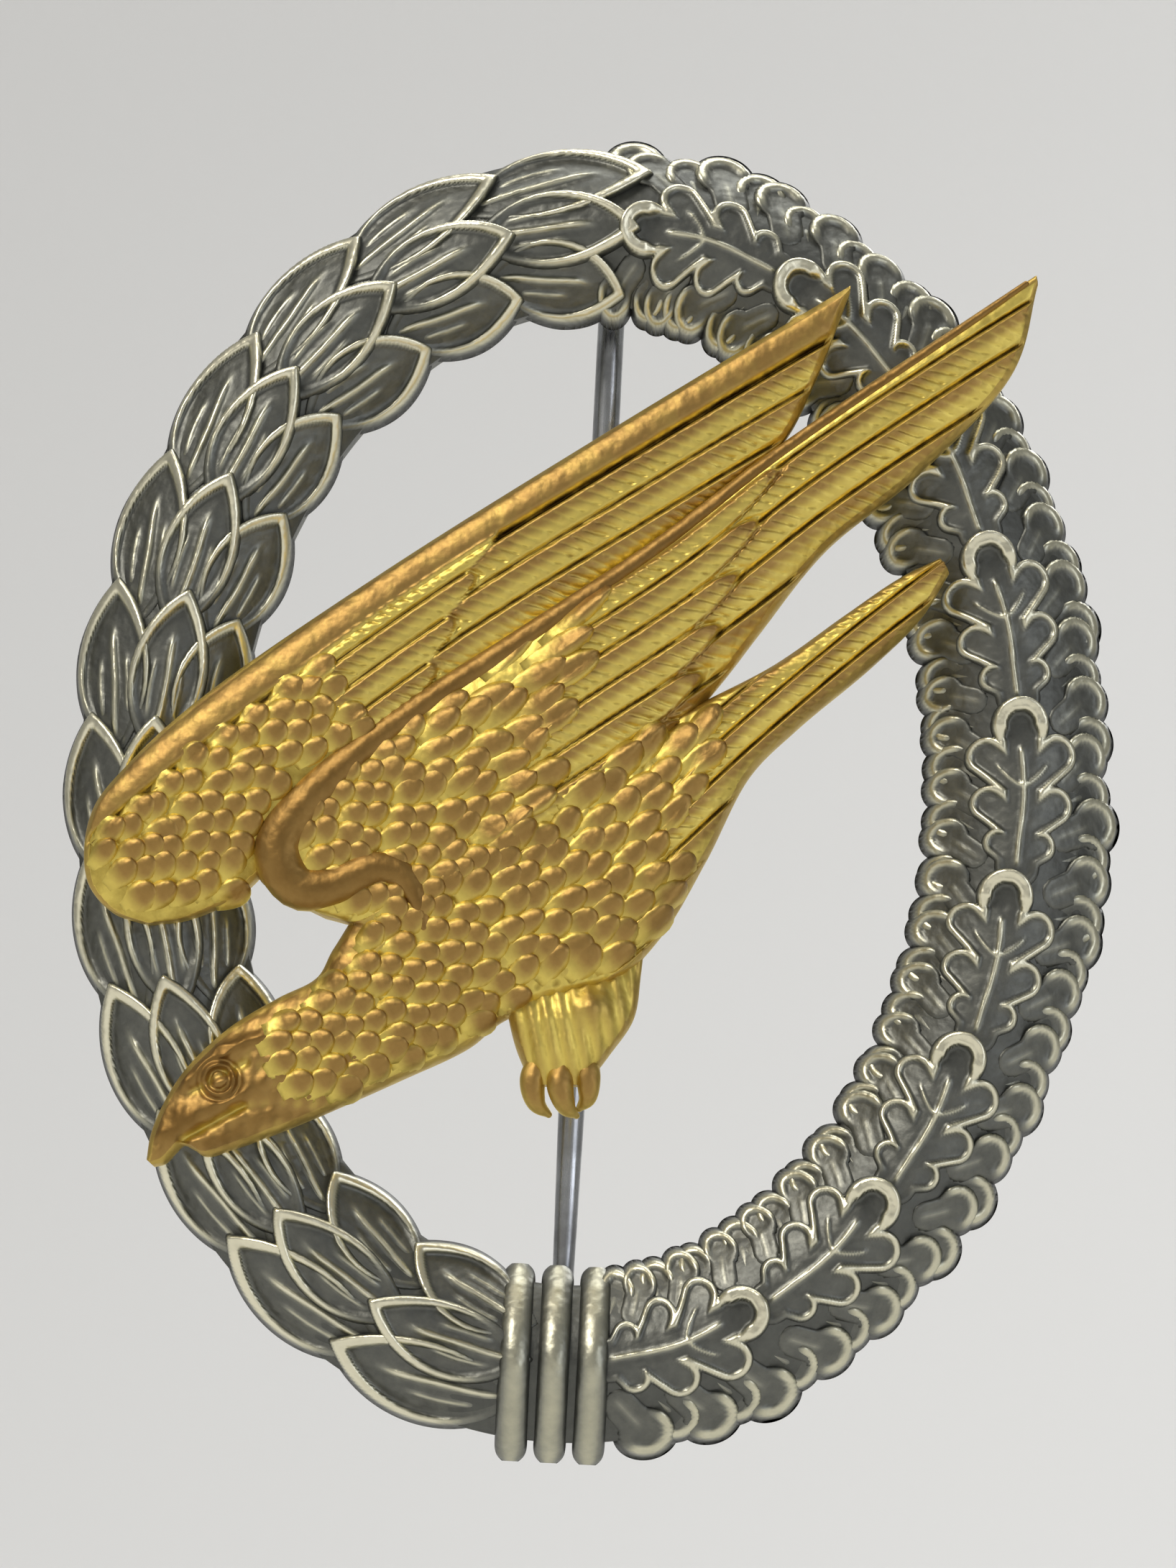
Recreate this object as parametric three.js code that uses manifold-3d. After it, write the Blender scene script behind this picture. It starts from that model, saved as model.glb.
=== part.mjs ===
// A metal badge worn on the chest: a diving bird riveted across an oval wreath, which is laurel
// on one half and oak on the other and tied at the foot. A hinged needle and a wire hook on the
// back hold it to the cloth.
//
// Units are millimetres. +Z is up as worn, -Y faces the person looking at the badge, and +X is
// that person's right. The origin is the centre of the oval, on the flat back of the wreath.

import * as THREE from 'three';
import { mergeVertices } from 'three/addons/utils/BufferGeometryUtils.js';
import Module from 'manifold-3d';

const wasm = await Module();
wasm.setup();

// ---------------------------------------------------------------- driving dimensions

const WREATH = {
  halfWidth: 21.0,
  halfHeight: 26.7,
  band: 7.1, // from the outer edge to the inner edge
  edge: 0.9, // thickness at both edges
  crest: 3.0, // thickness along the middle of the band
  stations: 216,
  laurel: { pitch: 5.3, depth: 0.3 }, // one swelling of the outline for each row of leaves
  oak: { pitch: 3.5, depth: 0.3 },
};

const TIE = { count: 3, pitch: 1.55, width: 1.3, proud: 0.4, bevel: 0.25, middle: -0.2 };

// Thicknesses are measured forward from the bird's flat back.
const BIRD = {
  gap: 0.05, // between the wreath's crest and the bird's back
  edge: 0.6,
  foldRadius: 0.85,
  foldHeights: [0.95, 1.4, 1.6, 1.6, 1.6, 1.4], // middle of the rolled wing fold, tip to shoulder
};

const RIVET = {
  shank: 0.75,
  hole: 0.8,
  head: 1.5,
  headHeight: 0.9,
  left: [-17.5, -2.7],
  right: [12.7, 15.7],
};

const HINGE = {
  plateRadius: 3.0,
  plateThickness: 0.6,
  baseThickness: 0.4,
  baseHeight: 3.0, // along Z
  earInner: 0.95, // the ears stand between these two distances from the middle
  earOuter: 1.75,
  earRadius: 1.15,
  axisBehind: 2.1, // the axle's height over the back of the wreath
  bore: 0.5,
};

const AXLE = { radius: 0.45, head: 0.8, headThickness: 0.3 };

const NEEDLE = {
  barrelRadius: 0.95,
  barrelHalfLength: 0.8,
  radius: 0.55,
  catchRadius: 0.4, // where the hook holds it
  tip: -24.9,
};

const CATCH = {
  plateRadius: 2.5,
  plateThickness: 0.4,
  wire: 0.45,
  bend: 1.25, // from the needle's axis to the middle of the wire
  lip: 0.45, // how far the open end comes down past the needle's axis
};

const FIT_GAP = 0.05; // between soldered or seated pieces

// ---------------------------------------------------------------- worked out from those

const bandMiddle = {
  halfWidth: WREATH.halfWidth - WREATH.band / 2,
  halfHeight: WREATH.halfHeight - WREATH.band / 2,
};
const birdBack = -(WREATH.crest + BIRD.gap);
const hingeZ = bandMiddle.halfHeight;
const catchZ = -bandMiddle.halfHeight;

// ---------------------------------------------------------------- materials

const metal = (color, roughness) => new THREE.MeshStandardMaterial({ color, roughness, metalness: 1 });
const silvered = metal(0x8c8b84, 0.42);
const gilt = metal(0xc9a03f, 0.4);
const rivetMetal = metal(0xa9a69b, 0.45);
const brass = metal(0xb08d4c, 0.45);
const steel = metal(0xb9bcbe, 0.3);

// ---------------------------------------------------------------- geometry helpers

// A closed geometry with its shared corners merged and its faces pointing out, whichever way
// round its profile or its rings were drawn.
function closed(geometry) {
  const bare = geometry.clone();
  bare.deleteAttribute('normal');
  bare.deleteAttribute('uv');
  const merged = mergeVertices(bare, 1e-4);
  const { position } = merged.attributes;
  const corner = (i) => new THREE.Vector3().fromBufferAttribute(position, merged.index.getX(i));
  let volume = 0;
  for (let i = 0; i < merged.index.count; i += 3) {
    volume += corner(i).dot(corner(i + 1).cross(corner(i + 2))) / 6;
  }
  if (volume < 0) merged.index.array.reverse();
  return merged;
}

// The solid of a closed geometry, ready to be joined or cut.
function solid(geometry) {
  const merged = closed(geometry);
  return new wasm.Manifold(new wasm.Mesh({
    numProp: 3,
    vertProperties: Float32Array.from(merged.attributes.position.array),
    triVerts: Uint32Array.from(merged.index.array),
  }));
}

function geometryOf(manifold) {
  const mesh = manifold.getMesh();
  const geometry = new THREE.BufferGeometry();
  geometry.setAttribute('position', new THREE.BufferAttribute(mesh.vertProperties, 3));
  geometry.setIndex(new THREE.BufferAttribute(mesh.triVerts, 1));
  geometry.computeVertexNormals();
  return geometry;
}

const join = (pieces) => pieces.map(solid).reduce((whole, piece) => whole.add(piece));

// A skin over a row of rings with the same number of points each. An open row is closed by flat
// ends, and a round row joins its last ring to its first.
function loft(rings, { round = false } = {}) {
  const size = rings[0].length;
  const index = [];
  const bands = round ? rings.length : rings.length - 1;
  for (let i = 0; i < bands; i += 1) {
    const here = i * size;
    const there = ((i + 1) % rings.length) * size;
    for (let j = 0; j < size; j += 1) {
      const k = (j + 1) % size;
      index.push(here + j, here + k, there + k, here + j, there + k, there + j);
    }
  }
  if (!round) {
    const last = (rings.length - 1) * size;
    for (let j = 1; j < size - 1; j += 1) {
      index.push(0, j + 1, j, last, last + j, last + j + 1);
    }
  }
  const geometry = new THREE.BufferGeometry();
  const positions = rings.flat().flatMap((p) => [p.x, p.y, p.z]);
  geometry.setAttribute('position', new THREE.Float32BufferAttribute(positions, 3));
  geometry.setIndex(index);
  return geometry;
}

// A solid turned about its own axis, which is then laid along X or Y.
function turned(profile, axis) {
  const points = profile.map(([radius, along]) => new THREE.Vector2(radius, along));
  const geometry = new THREE.LatheGeometry(points, 32);
  return axis === 'x' ? geometry.rotateZ(-Math.PI / 2) : geometry;
}

// ---------------------------------------------------------------- wreath

// Thickness of the domed band. across runs from -1 at the inner edge to 1 at the outer edge.
function bandThickness(across) {
  return WREATH.edge + (WREATH.crest - WREATH.edge) * Math.cos((across * Math.PI) / 2);
}

// How far the outline swells, by the distance along the band from the tie.
const swelling = ({ pitch, depth }, distance) => depth * Math.abs(Math.sin((Math.PI * distance) / pitch));

function wreathBand() {
  const middle = new THREE.EllipseCurve(
    0, 0, bandMiddle.halfWidth, bandMiddle.halfHeight, -Math.PI / 2, -2.5 * Math.PI, true,
  );
  const length = middle.getLength();
  const rings = [];
  for (let i = 0; i < WREATH.stations; i += 1) {
    const u = i / WREATH.stations;
    const centre = middle.getPointAt(u);
    const along = middle.getTangentAt(u);
    const leaves = u < 0.5 ? WREATH.laurel : WREATH.oak;
    const reach = WREATH.band / 2 - leaves.depth / 2 + swelling(leaves, length * Math.min(u, 1 - u));
    const at = (across, y) => new THREE.Vector3(
      centre.x - along.y * across * reach, y, centre.y + along.x * across * reach,
    );
    const front = [-1, -0.5, 0, 0.5, 1].map((across) => at(across, -bandThickness(across)));
    rings.push([at(-1, 0), ...front, at(1, 0)]);
  }
  return loft(rings, { round: true });
}

// One strap of the tie: a flat-backed bar that follows the dome of the band across its width.
function tieStrap(x) {
  const reach = WREATH.band / 2 + TIE.proud - TIE.bevel;
  const shape = new THREE.Shape();
  shape.moveTo(catchZ - reach, TIE.bevel);
  const steps = 8;
  for (let i = 0; i <= steps; i += 1) {
    const across = (2 * i) / steps - 1;
    shape.lineTo(catchZ + across * reach, bandThickness(across) + TIE.proud - TIE.bevel);
  }
  shape.lineTo(catchZ + reach, TIE.bevel);
  const depth = TIE.width - 2 * TIE.bevel;
  const strap = new THREE.ExtrudeGeometry(shape, {
    depth, bevelThickness: TIE.bevel, bevelSize: TIE.bevel, bevelSegments: 1,
  });
  const turn = new THREE.Matrix4().makeBasis(
    new THREE.Vector3(0, 0, 1), new THREE.Vector3(0, -1, 0), new THREE.Vector3(1, 0, 0),
  );
  return strap.translate(0, 0, -depth / 2).applyMatrix4(turn).translate(x, 0, 0);
}

function wreath() {
  const straps = [];
  for (let i = 0; i < TIE.count; i += 1) {
    straps.push(tieStrap(TIE.middle + (i - (TIE.count - 1) / 2) * TIE.pitch));
  }
  let body = join([wreathBand(), ...straps]);
  for (const [x, z] of [RIVET.left, RIVET.right]) {
    const hole = new THREE.CylinderGeometry(RIVET.hole, RIVET.hole, 4 * WREATH.crest, 24);
    body = body.subtract(solid(hole.translate(x, 0, z)));
  }
  return geometryOf(body);
}

// ---------------------------------------------------------------- bird

// Each part of the bird is a blade: the metal between two edge curves, given as [x, z] points
// from root to tip, with a flat back and a domed front. heights holds the thickness of the crest
// at even steps from root to tip.
const FAR_WING = {
  lead: [[-18.9, -6.0], [-20.0, -3.6], [-18.9, -0.6], [-12.6, 5.2], [-5.3, 10.7], [5.6, 18.1], [9.6, 20.7]],
  trail: [[-16.2, -6.4], [-13.6, -5.4], [-10.4, -2.4], [-6.5, 1.9], [-0.5, 6.9], [7.3, 13.9], [9.7, 20.3]],
  heights: [1.0, 1.9, 1.6, 1.5, 1.4, 1.1, 0.7],
};

const NEAR_WING = {
  lead: [[-11.6, -5.2], [-13.2, -3.6], [-12.2, -1.2], [-7.9, 2.5], [2.3, 10.0], [13.1, 18.7], [17.1, 21.6]],
  trail: [[-6.6, -6.4], [-2.3, -4.6], [2.2, 0.4], [5.5, 4.9], [9.1, 9.9], [15.6, 16.4], [17.3, 21.2]],
  heights: [1.7, 2.1, 2.1, 1.9, 1.7, 1.3, 0.8],
};

const BODY = {
  lead: [[-16.5, -15.8], [-15.9, -13.6], [-14.0, -10.6], [-10.4, -8.3], [-7.4, -3.8], [0.5, 0.6],
    [6.9, 5.3], [10.6, 7.6], [13.9, 9.7]],
  trail: [[-15.7, -16.2], [-13.4, -15.4], [-10.8, -14.3], [-6.8, -12.3], [-2.8, -9.8], [3.1, -6.4],
    [5.7, -0.6], [10.6, 4.7], [14.2, 9.1]],
  heights: [0.7, 1.7, 1.9, 2.0, 2.3, 2.2, 1.6, 1.2, 0.8],
};

const LEG = {
  lead: [[-3.2, -8.2], [-2.3, -10.2], [-2.5, -11.6], [-1.6, -13.0]],
  trail: [[1.8, -7.6], [1.7, -9.8], [0.9, -11.2], [0.2, -12.9]],
  heights: [1.7, 1.6, 1.4, 0.9],
};

// The rolled leading edge of the near wing, from the tip side down to the wrist, round it, and
// in over the shoulder.
const WING_FOLD = [
  [7.1, 13.6], [-2.8, 5.6], [-8.3, 1.4], [-11.5, -1.6], [-12.2, -3.7], [-11.0, -4.7], [-8.3, -4.2],
  [-6.7, -4.9], [-6.3, -6.2],
];

const smooth = (points) => new THREE.SplineCurve(points.map(([x, y]) => new THREE.Vector2(x, y)));

function blade({ lead, trail, heights }, stations) {
  const leadEdge = smooth(lead).getPoints(stations);
  const trailEdge = smooth(trail).getPoints(stations);
  const crest = smooth(heights.map((height, i) => [i, height])).getPoints(stations);
  const rings = leadEdge.map((a, i) => {
    const b = trailEdge[i];
    const at = (across, y) => new THREE.Vector3(
      THREE.MathUtils.lerp(a.x, b.x, across), y, THREE.MathUtils.lerp(a.y, b.y, across),
    );
    const front = [0, 0.15, 0.38, 0.62, 0.85, 1].map((across) => {
      const rise = Math.sqrt(Math.sin(Math.PI * across));
      return at(across, birdBack - BIRD.edge - (crest[i].y - BIRD.edge) * rise);
    });
    return [at(0, birdBack), ...front, at(1, birdBack)];
  });
  return loft(rings);
}

function wingFold() {
  const height = smooth(BIRD.foldHeights.map((value, i) => [i, value]));
  const points = WING_FOLD.map(([x, z], i) => new THREE.Vector3(
    x, birdBack - height.getPoint(i / (WING_FOLD.length - 1)).y, z,
  ));
  const section = new THREE.Shape();
  section.absarc(0, 0, BIRD.foldRadius, 0, 2 * Math.PI);
  return new THREE.ExtrudeGeometry(section, {
    extrudePath: new THREE.CatmullRomCurve3(points), steps: 40, curveSegments: 8,
  });
}

function divingBird() {
  return geometryOf(join([
    blade(FAR_WING, 24), blade(BODY, 32), blade(NEAR_WING, 24), blade(LEG, 8), wingFold(),
  ]));
}

// ---------------------------------------------------------------- rivets

// The shank stands on the bird's back, and its end is domed over behind the wreath.
function rivet([x, z]) {
  const steps = 5;
  const dome = [];
  for (let i = 0; i <= steps; i += 1) {
    const angle = (i / steps) * (Math.PI / 2);
    dome.push([RIVET.head * Math.cos(angle), RIVET.headHeight * Math.sin(angle)]);
  }
  dome[steps][0] = 0;
  const profile = [[0, birdBack], [RIVET.shank, birdBack], [RIVET.shank, 0], ...dome];
  return turned(profile, 'y').translate(x, 0, z);
}

// ---------------------------------------------------------------- hinge and needle

function disc(radius, thickness, z) {
  return new THREE.CylinderGeometry(radius, radius, thickness, 40).translate(0, thickness / 2, z);
}

// A bent strip: a base soldered to the plate, and two ears with the axle's holes.
function hingeBracket() {
  const foot = HINGE.plateThickness;
  const base = new THREE.BoxGeometry(2 * HINGE.earOuter, HINGE.baseThickness, HINGE.baseHeight)
    .translate(0, foot + HINGE.baseThickness / 2, hingeZ);
  const outline = new THREE.Shape();
  outline.moveTo(-HINGE.earRadius, foot);
  outline.lineTo(-HINGE.earRadius, HINGE.axisBehind);
  outline.absarc(0, HINGE.axisBehind, HINGE.earRadius, Math.PI, 0, true);
  outline.lineTo(HINGE.earRadius, foot);
  const hole = new THREE.Path();
  hole.absarc(0, HINGE.axisBehind, HINGE.bore, 0, 2 * Math.PI);
  outline.holes.push(hole);
  const ears = [-HINGE.earOuter, HINGE.earInner].map((x) => new THREE.ExtrudeGeometry(outline, {
    depth: HINGE.earOuter - HINGE.earInner, bevelEnabled: false, curveSegments: 14,
  }).rotateY(Math.PI / 2).translate(x, 0, hingeZ));
  return geometryOf(join([base, ...ears]));
}

// A plain pin, peened over outside both ears.
function hingeAxle() {
  const inner = HINGE.earOuter + FIT_GAP;
  const outer = inner + AXLE.headThickness;
  const profile = [
    [0, -outer], [AXLE.head, -outer], [AXLE.head, -inner], [AXLE.radius, -inner],
    [AXLE.radius, inner], [AXLE.head, inner], [AXLE.head, outer], [0, outer],
  ];
  return turned(profile, 'x').translate(0, HINGE.axisBehind, hingeZ);
}

function needleBarrel() {
  const end = NEEDLE.barrelHalfLength;
  const profile = [
    [HINGE.bore, -end], [NEEDLE.barrelRadius, -end], [NEEDLE.barrelRadius, end], [HINGE.bore, end],
    [HINGE.bore, -end],
  ];
  return turned(profile, 'x').translate(0, HINGE.axisBehind, hingeZ);
}

function needleStem() {
  const top = -NEEDLE.barrelRadius - FIT_GAP;
  const point = NEEDLE.tip - hingeZ;
  const atCatch = catchZ - hingeZ;
  const profile = [
    [0, point], [0.16, point + 0.7], [NEEDLE.catchRadius, atCatch],
    [NEEDLE.radius, atCatch + 12], [NEEDLE.radius, top], [0, top],
  ];
  const points = profile.map(([radius, along]) => new THREE.Vector2(radius, along));
  return new THREE.LatheGeometry(points, 20).rotateX(Math.PI / 2).translate(0, HINGE.axisBehind, hingeZ);
}

// ---------------------------------------------------------------- catch

// A round wire that stands beside the needle, passes over it and comes part of the way down on
// the other side, so the needle springs in sideways under the open end.
function catchHook() {
  const foot = CATCH.plateThickness + FIT_GAP;
  const over = HINGE.axisBehind;
  const wire = new THREE.CurvePath();
  const at = (x, y) => new THREE.Vector3(x, y, catchZ);
  wire.add(new THREE.LineCurve3(at(CATCH.bend, foot), at(CATCH.bend, over)));
  const turns = 6;
  const arc = [];
  for (let i = 0; i <= turns; i += 1) {
    const angle = (Math.PI * i) / turns;
    arc.push(at(CATCH.bend * Math.cos(angle), over + CATCH.bend * Math.sin(angle)));
  }
  wire.add(new THREE.CatmullRomCurve3(arc));
  wire.add(new THREE.LineCurve3(at(-CATCH.bend, over), at(-CATCH.bend, over - CATCH.lip)));
  const section = new THREE.Shape();
  section.absarc(0, 0, CATCH.wire, 0, 2 * Math.PI);
  return new THREE.ExtrudeGeometry(section, { extrudePath: wire, steps: 24, curveSegments: 6 });
}

// ---------------------------------------------------------------- assembly

const badge = new THREE.Group();

function add(name, geometry, material) {
  const mesh = new THREE.Mesh(closed(geometry), material.clone());
  mesh.name = name;
  badge.add(mesh);
}

add('wreath', wreath(), silvered);
add('diving_bird', divingBird(), gilt);
add('rivet_left', rivet(RIVET.left), rivetMetal);
add('rivet_right', rivet(RIVET.right), rivetMetal);
add('hinge_plate', disc(HINGE.plateRadius, HINGE.plateThickness, hingeZ), brass);
add('hinge_bracket', hingeBracket(), brass);
add('hinge_axle', hingeAxle(), steel);
add('needle_barrel', needleBarrel(), brass);
add('needle_stem', needleStem(), steel);
add('catch_plate', disc(CATCH.plateRadius, CATCH.plateThickness, catchZ), brass);
add('catch_hook', catchHook(), brass);

export default badge;
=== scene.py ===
# %% [markdown]
# # A riveted wreath badge, dressed around its CAD frame
#
# The object is a metal badge 42 mm wide: a gilt bird dives across a silvered oval wreath, laurel on
# the left half and oak on the right, and a hinged needle on the back pins it to cloth. Both front
# pieces are struck from brass in steel dies, so their detail is *relief*: everything rises from a
# flat back along one direction, and nothing is undercut. That is why nearly every piece here is
# made as a height over a flat plan. The CAD frame already fixes every size, the hinge axis and what
# moves, and this script only replaces its plain solids with finished ones in the same place.

# %% Load the frame
import math

import bmesh
import bpy
import numpy as np
from mathutils import Matrix, Vector
from mathutils.bvhtree import BVHTree


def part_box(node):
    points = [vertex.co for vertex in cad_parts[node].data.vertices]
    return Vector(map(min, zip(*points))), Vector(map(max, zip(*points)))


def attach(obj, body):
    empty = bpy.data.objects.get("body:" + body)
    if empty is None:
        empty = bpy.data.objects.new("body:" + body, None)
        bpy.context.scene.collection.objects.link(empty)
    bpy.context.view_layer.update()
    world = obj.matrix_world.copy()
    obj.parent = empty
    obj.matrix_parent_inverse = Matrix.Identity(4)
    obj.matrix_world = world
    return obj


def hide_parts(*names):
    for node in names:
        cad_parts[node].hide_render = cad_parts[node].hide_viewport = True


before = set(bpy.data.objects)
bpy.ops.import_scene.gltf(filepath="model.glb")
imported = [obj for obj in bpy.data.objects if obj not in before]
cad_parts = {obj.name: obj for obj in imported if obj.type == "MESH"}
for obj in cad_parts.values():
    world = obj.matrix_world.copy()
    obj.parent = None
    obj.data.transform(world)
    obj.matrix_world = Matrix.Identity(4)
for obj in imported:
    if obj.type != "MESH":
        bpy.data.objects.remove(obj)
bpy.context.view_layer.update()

MM = 0.001

# %% [markdown]
# ## The frame's own measures
#
# Places come from the CAD nodes' boxes, so the looks follow the frame if it changes. The hinge
# plate's middle sits on the middle of the wreath's band, at the top of the oval.

# %% Read the band and the levels from the frame
BAND_HALF = 3.55 * MM  # half the band's width
BAND_EDGE = 0.9 * MM  # its thickness at both edges
BAND_CREST = 3.0 * MM  # and along its middle
SCALLOP = 0.1 * MM  # how far the wreath's box reaches past the band


def middle_of(node):
    """The middle of a CAD node's box, in metres."""
    low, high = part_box(node)
    return (low + high) / 2


oval_half_height = middle_of("hinge_plate").z
oval_half_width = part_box("wreath")[1].x - BAND_HALF - SCALLOP
bird_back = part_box("diving_bird")[1].y
print("middle of the band in mm:", round(oval_half_width / MM, 2), round(oval_half_height / MM, 2))
print("the bird's back lies at y =", round(bird_back / MM, 2), "mm")

# %% [markdown]
# ## Small tools for materials
#
# A colour is written as the sRGB hex value a painter would read off a chart, and one function turns
# it into the linear numbers that the shader works in. One more adds any node with its settings and
# links, so that a material reads as a list of what it is made of.

# %% Colour and node helpers
def hex_linear(code):
    """An sRGB hex colour, such as "#c9a03f", as linear RGBA."""
    channels = [int(code[i:i + 2], 16) / 255 for i in (1, 3, 5)]
    return [c / 12.92 if c <= 0.04045 else ((c + 0.055) / 1.055) ** 2.4 for c in channels] + [1.0]


def add(tree, kind, inputs=None, **settings):
    """Adds a node. An input gets a number, a socket, or a node, whose first output is linked."""
    node = tree.nodes.new(kind)
    for name, value in settings.items():
        setattr(node, name, value)
    for name, value in (inputs or {}).items():
        if isinstance(value, bpy.types.Node):
            value = next(socket for socket in value.outputs if socket.enabled)
        if isinstance(value, bpy.types.NodeSocket):
            tree.links.new(value, node.inputs[name])
        else:
            node.inputs[name].default_value = value
    return node


def new_material(name):
    """A material with an empty tree, and the object coordinates that place its patterns."""
    material = bpy.data.materials.new(name)
    material.use_nodes = True
    material.node_tree.nodes.clear()
    place = add(material.node_tree, "ShaderNodeTexCoord").outputs["Object"]
    return material, material.node_tree, place

# %% [markdown]
# ## Worn plating
#
# Both front pieces are brass with a thin finish on top: silver darkened with liver of sulphur on
# the wreath, and gilding on the bird. Handling rubs the high places and leaves the hollows alone.
# So every struck piece carries a number on each vertex, *wear*: 0 in the hollows and 1 on the
# ridges. On the gilt bird the deepest grooves are pushed down to 0 as well, and the dark brown
# they get there is painted shade. The material turns wear into colour and roughness, and noise of
# a real size breaks it up, as rubbing is never even. A metal keeps the default IOR, and its colour
# is its reflection.

# %% Plated, worn metal
GRAIN = 0.14 * MM  # size of the fine unevenness of worn plating
GRAIN_DEPTH = 0.014 * MM
DENT = 0.55 * MM  # size of the small knocks


def metal_surface(tree, level, stops, span, roughness, marks, smear, bump):
    """Ends a metal's tree. Colour and roughness follow level over a span, and marks smear them."""
    colour = add(tree, "ShaderNodeValToRGB", {"Fac": level})
    while len(colour.color_ramp.elements) < len(stops):
        colour.color_ramp.elements.new(0.5)
    for element, (position, code) in zip(colour.color_ramp.elements, stops):
        element.position = position
        element.color = hex_linear(code)
    gloss = add(tree, "ShaderNodeMapRange", {"Value": level, "From Min": span[0], "From Max": span[1],
                                             "To Min": roughness[0], "To Max": roughness[1]})
    smears = add(tree, "ShaderNodeMath", {0: marks, 1: smear, 2: -smear / 2}, operation="MULTIPLY_ADD")
    rough = add(tree, "ShaderNodeMath", {0: gloss, 1: smears}, operation="ADD", use_clamp=True)
    shader = add(tree, "ShaderNodeBsdfPrincipled", {"Base Color": colour, "Metallic": 1.0,
                                                    "Roughness": rough, "Normal": bump})
    add(tree, "ShaderNodeOutputMaterial", {"Surface": shader})


def worn_metal(name, stops, roughness, mottle, mottle_depth, dent_depth):
    """stops colour wear from 0 to 1, and roughness is its value at wear 0 and at wear 1."""
    material, tree, place = new_material(name)
    wear = add(tree, "ShaderNodeAttribute", attribute_name="wear").outputs["Fac"]
    blotches = add(tree, "ShaderNodeTexNoise", {"Vector": place, "Scale": 1 / mottle, "Detail": 5.0,
                                                "Roughness": 0.6})
    grain = add(tree, "ShaderNodeTexNoise", {"Vector": place, "Scale": 1 / GRAIN, "Detail": 3.0})
    dents = add(tree, "ShaderNodeTexNoise", {"Vector": place, "Scale": 1 / DENT, "Detail": 1.0})
    drift = add(tree, "ShaderNodeMath", {0: blotches, 1: mottle_depth, 2: -mottle_depth / 2},
                operation="MULTIPLY_ADD")
    uneven = add(tree, "ShaderNodeMath", {0: wear, 1: drift}, operation="ADD", use_clamp=True)
    dented = add(tree, "ShaderNodeBump", {"Height": dents, "Strength": 0.6, "Distance": dent_depth})
    bump = add(tree, "ShaderNodeBump", {"Height": grain, "Strength": 0.6, "Distance": GRAIN_DEPTH,
                                        "Normal": dented})
    metal_surface(tree, uneven, stops, (0.0, 1.0), roughness, grain, 0.16, bump)
    return material


# Silver, darkened with liver of sulphur and rubbed back: near-black hollows, grey faces, and rims
# worn through to a warm pale metal.
oxidised_silver = worn_metal(
    "oxidised_silver_rubbed_back",
    [(0.0, "#414241"), (0.3, "#686964"), (0.55, "#909085"), (0.8, "#c9c6ae"), (1.0, "#eae5cb")],
    roughness=(0.55, 0.34), mottle=0.7 * MM, mottle_depth=0.22, dent_depth=0.1 * MM,
)

# Fire gilding on brass: bright lemon gold where nothing touches it, coppery brown on the ridges.
# The dark brown of the lowest stops is painted shade for the deepest grooves.
gilding_worn_and_groove_shaded = worn_metal(
    "fire_gilding_worn_with_painted_groove_shade",
    [(0.0, "#523f1a"), (0.08, "#a88e42"), (0.2, "#e4ce6c"), (0.42, "#cfb661"), (0.68, "#a8874e"),
     (1.0, "#876839")],
    roughness=(0.48, 0.5), mottle=1.2 * MM, mottle_depth=0.34, dent_depth=0.13 * MM,
)
print("materials:", oxidised_silver.name, gilding_worn_and_groove_shaded.name)

# %% [markdown]
# The fittings on the back are plainer: drawn and turned metal. The brass is tarnished in patches,
# the rivets are hammered, and the needle is steel wire, drawn through a die, so its fine lines run
# along it.

# %% Metal of the fittings
def drawn_metal(name, bright, dull, roughness, patch, line=(0.05, 0.05, 0.05)):
    """line is the size in mm of the surface marks along X, Y and Z: long along Z for a drawn wire."""
    material, tree, place = new_material(name)
    patches = add(tree, "ShaderNodeTexNoise", {"Vector": place, "Scale": 1 / patch, "Detail": 6.0,
                                               "Roughness": 0.65})
    stretched = add(tree, "ShaderNodeMapping", {"Vector": place, "Scale": [1 / (size * MM) for size in line]})
    marks = add(tree, "ShaderNodeTexNoise", {"Vector": stretched, "Scale": 1.0, "Detail": 2.0})
    bump = add(tree, "ShaderNodeBump", {"Height": marks, "Strength": 0.4, "Distance": 0.01 * MM})
    stops = [(0.35, dull), (0.62, bright)]
    metal_surface(tree, patches, stops, (0.3, 0.7), roughness, marks, 0.2, bump)
    return material


tarnished_brass = drawn_metal("tarnished_brass", "#c9a667", "#8a6d3d", (0.52, 0.3), 1.1 * MM)
hammered_nickel = drawn_metal("hammered_nickel_silver", "#b3b0a6", "#7f7c73", (0.55, 0.34), 0.6 * MM)
drawn_steel = drawn_metal("drawn_steel_wire", "#c6c8ca", "#9a9b9c", (0.36, 0.22), 2.5 * MM, (0.04, 0.04, 2.0))
soft_solder = drawn_metal("tin_lead_solder", "#a9abad", "#75777a", (0.6, 0.4), 0.5 * MM)
print("fittings:", tarnished_brass.name, hammered_nickel.name, drawn_steel.name, soft_solder.name)

# %% [markdown]
# ## Curves and meshes from a few points
#
# An outline is a handful of points with a smooth line through them, sampled evenly by length, so
# that feathers and leaves keep their size along it. A mesh is mostly *rings* of points, one after
# another, with a skin stretched over them. A struck piece is the same: each ring is a strip of its
# front, and two more points close the strip over a flat back, which has to be flat for the cloth.

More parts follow.
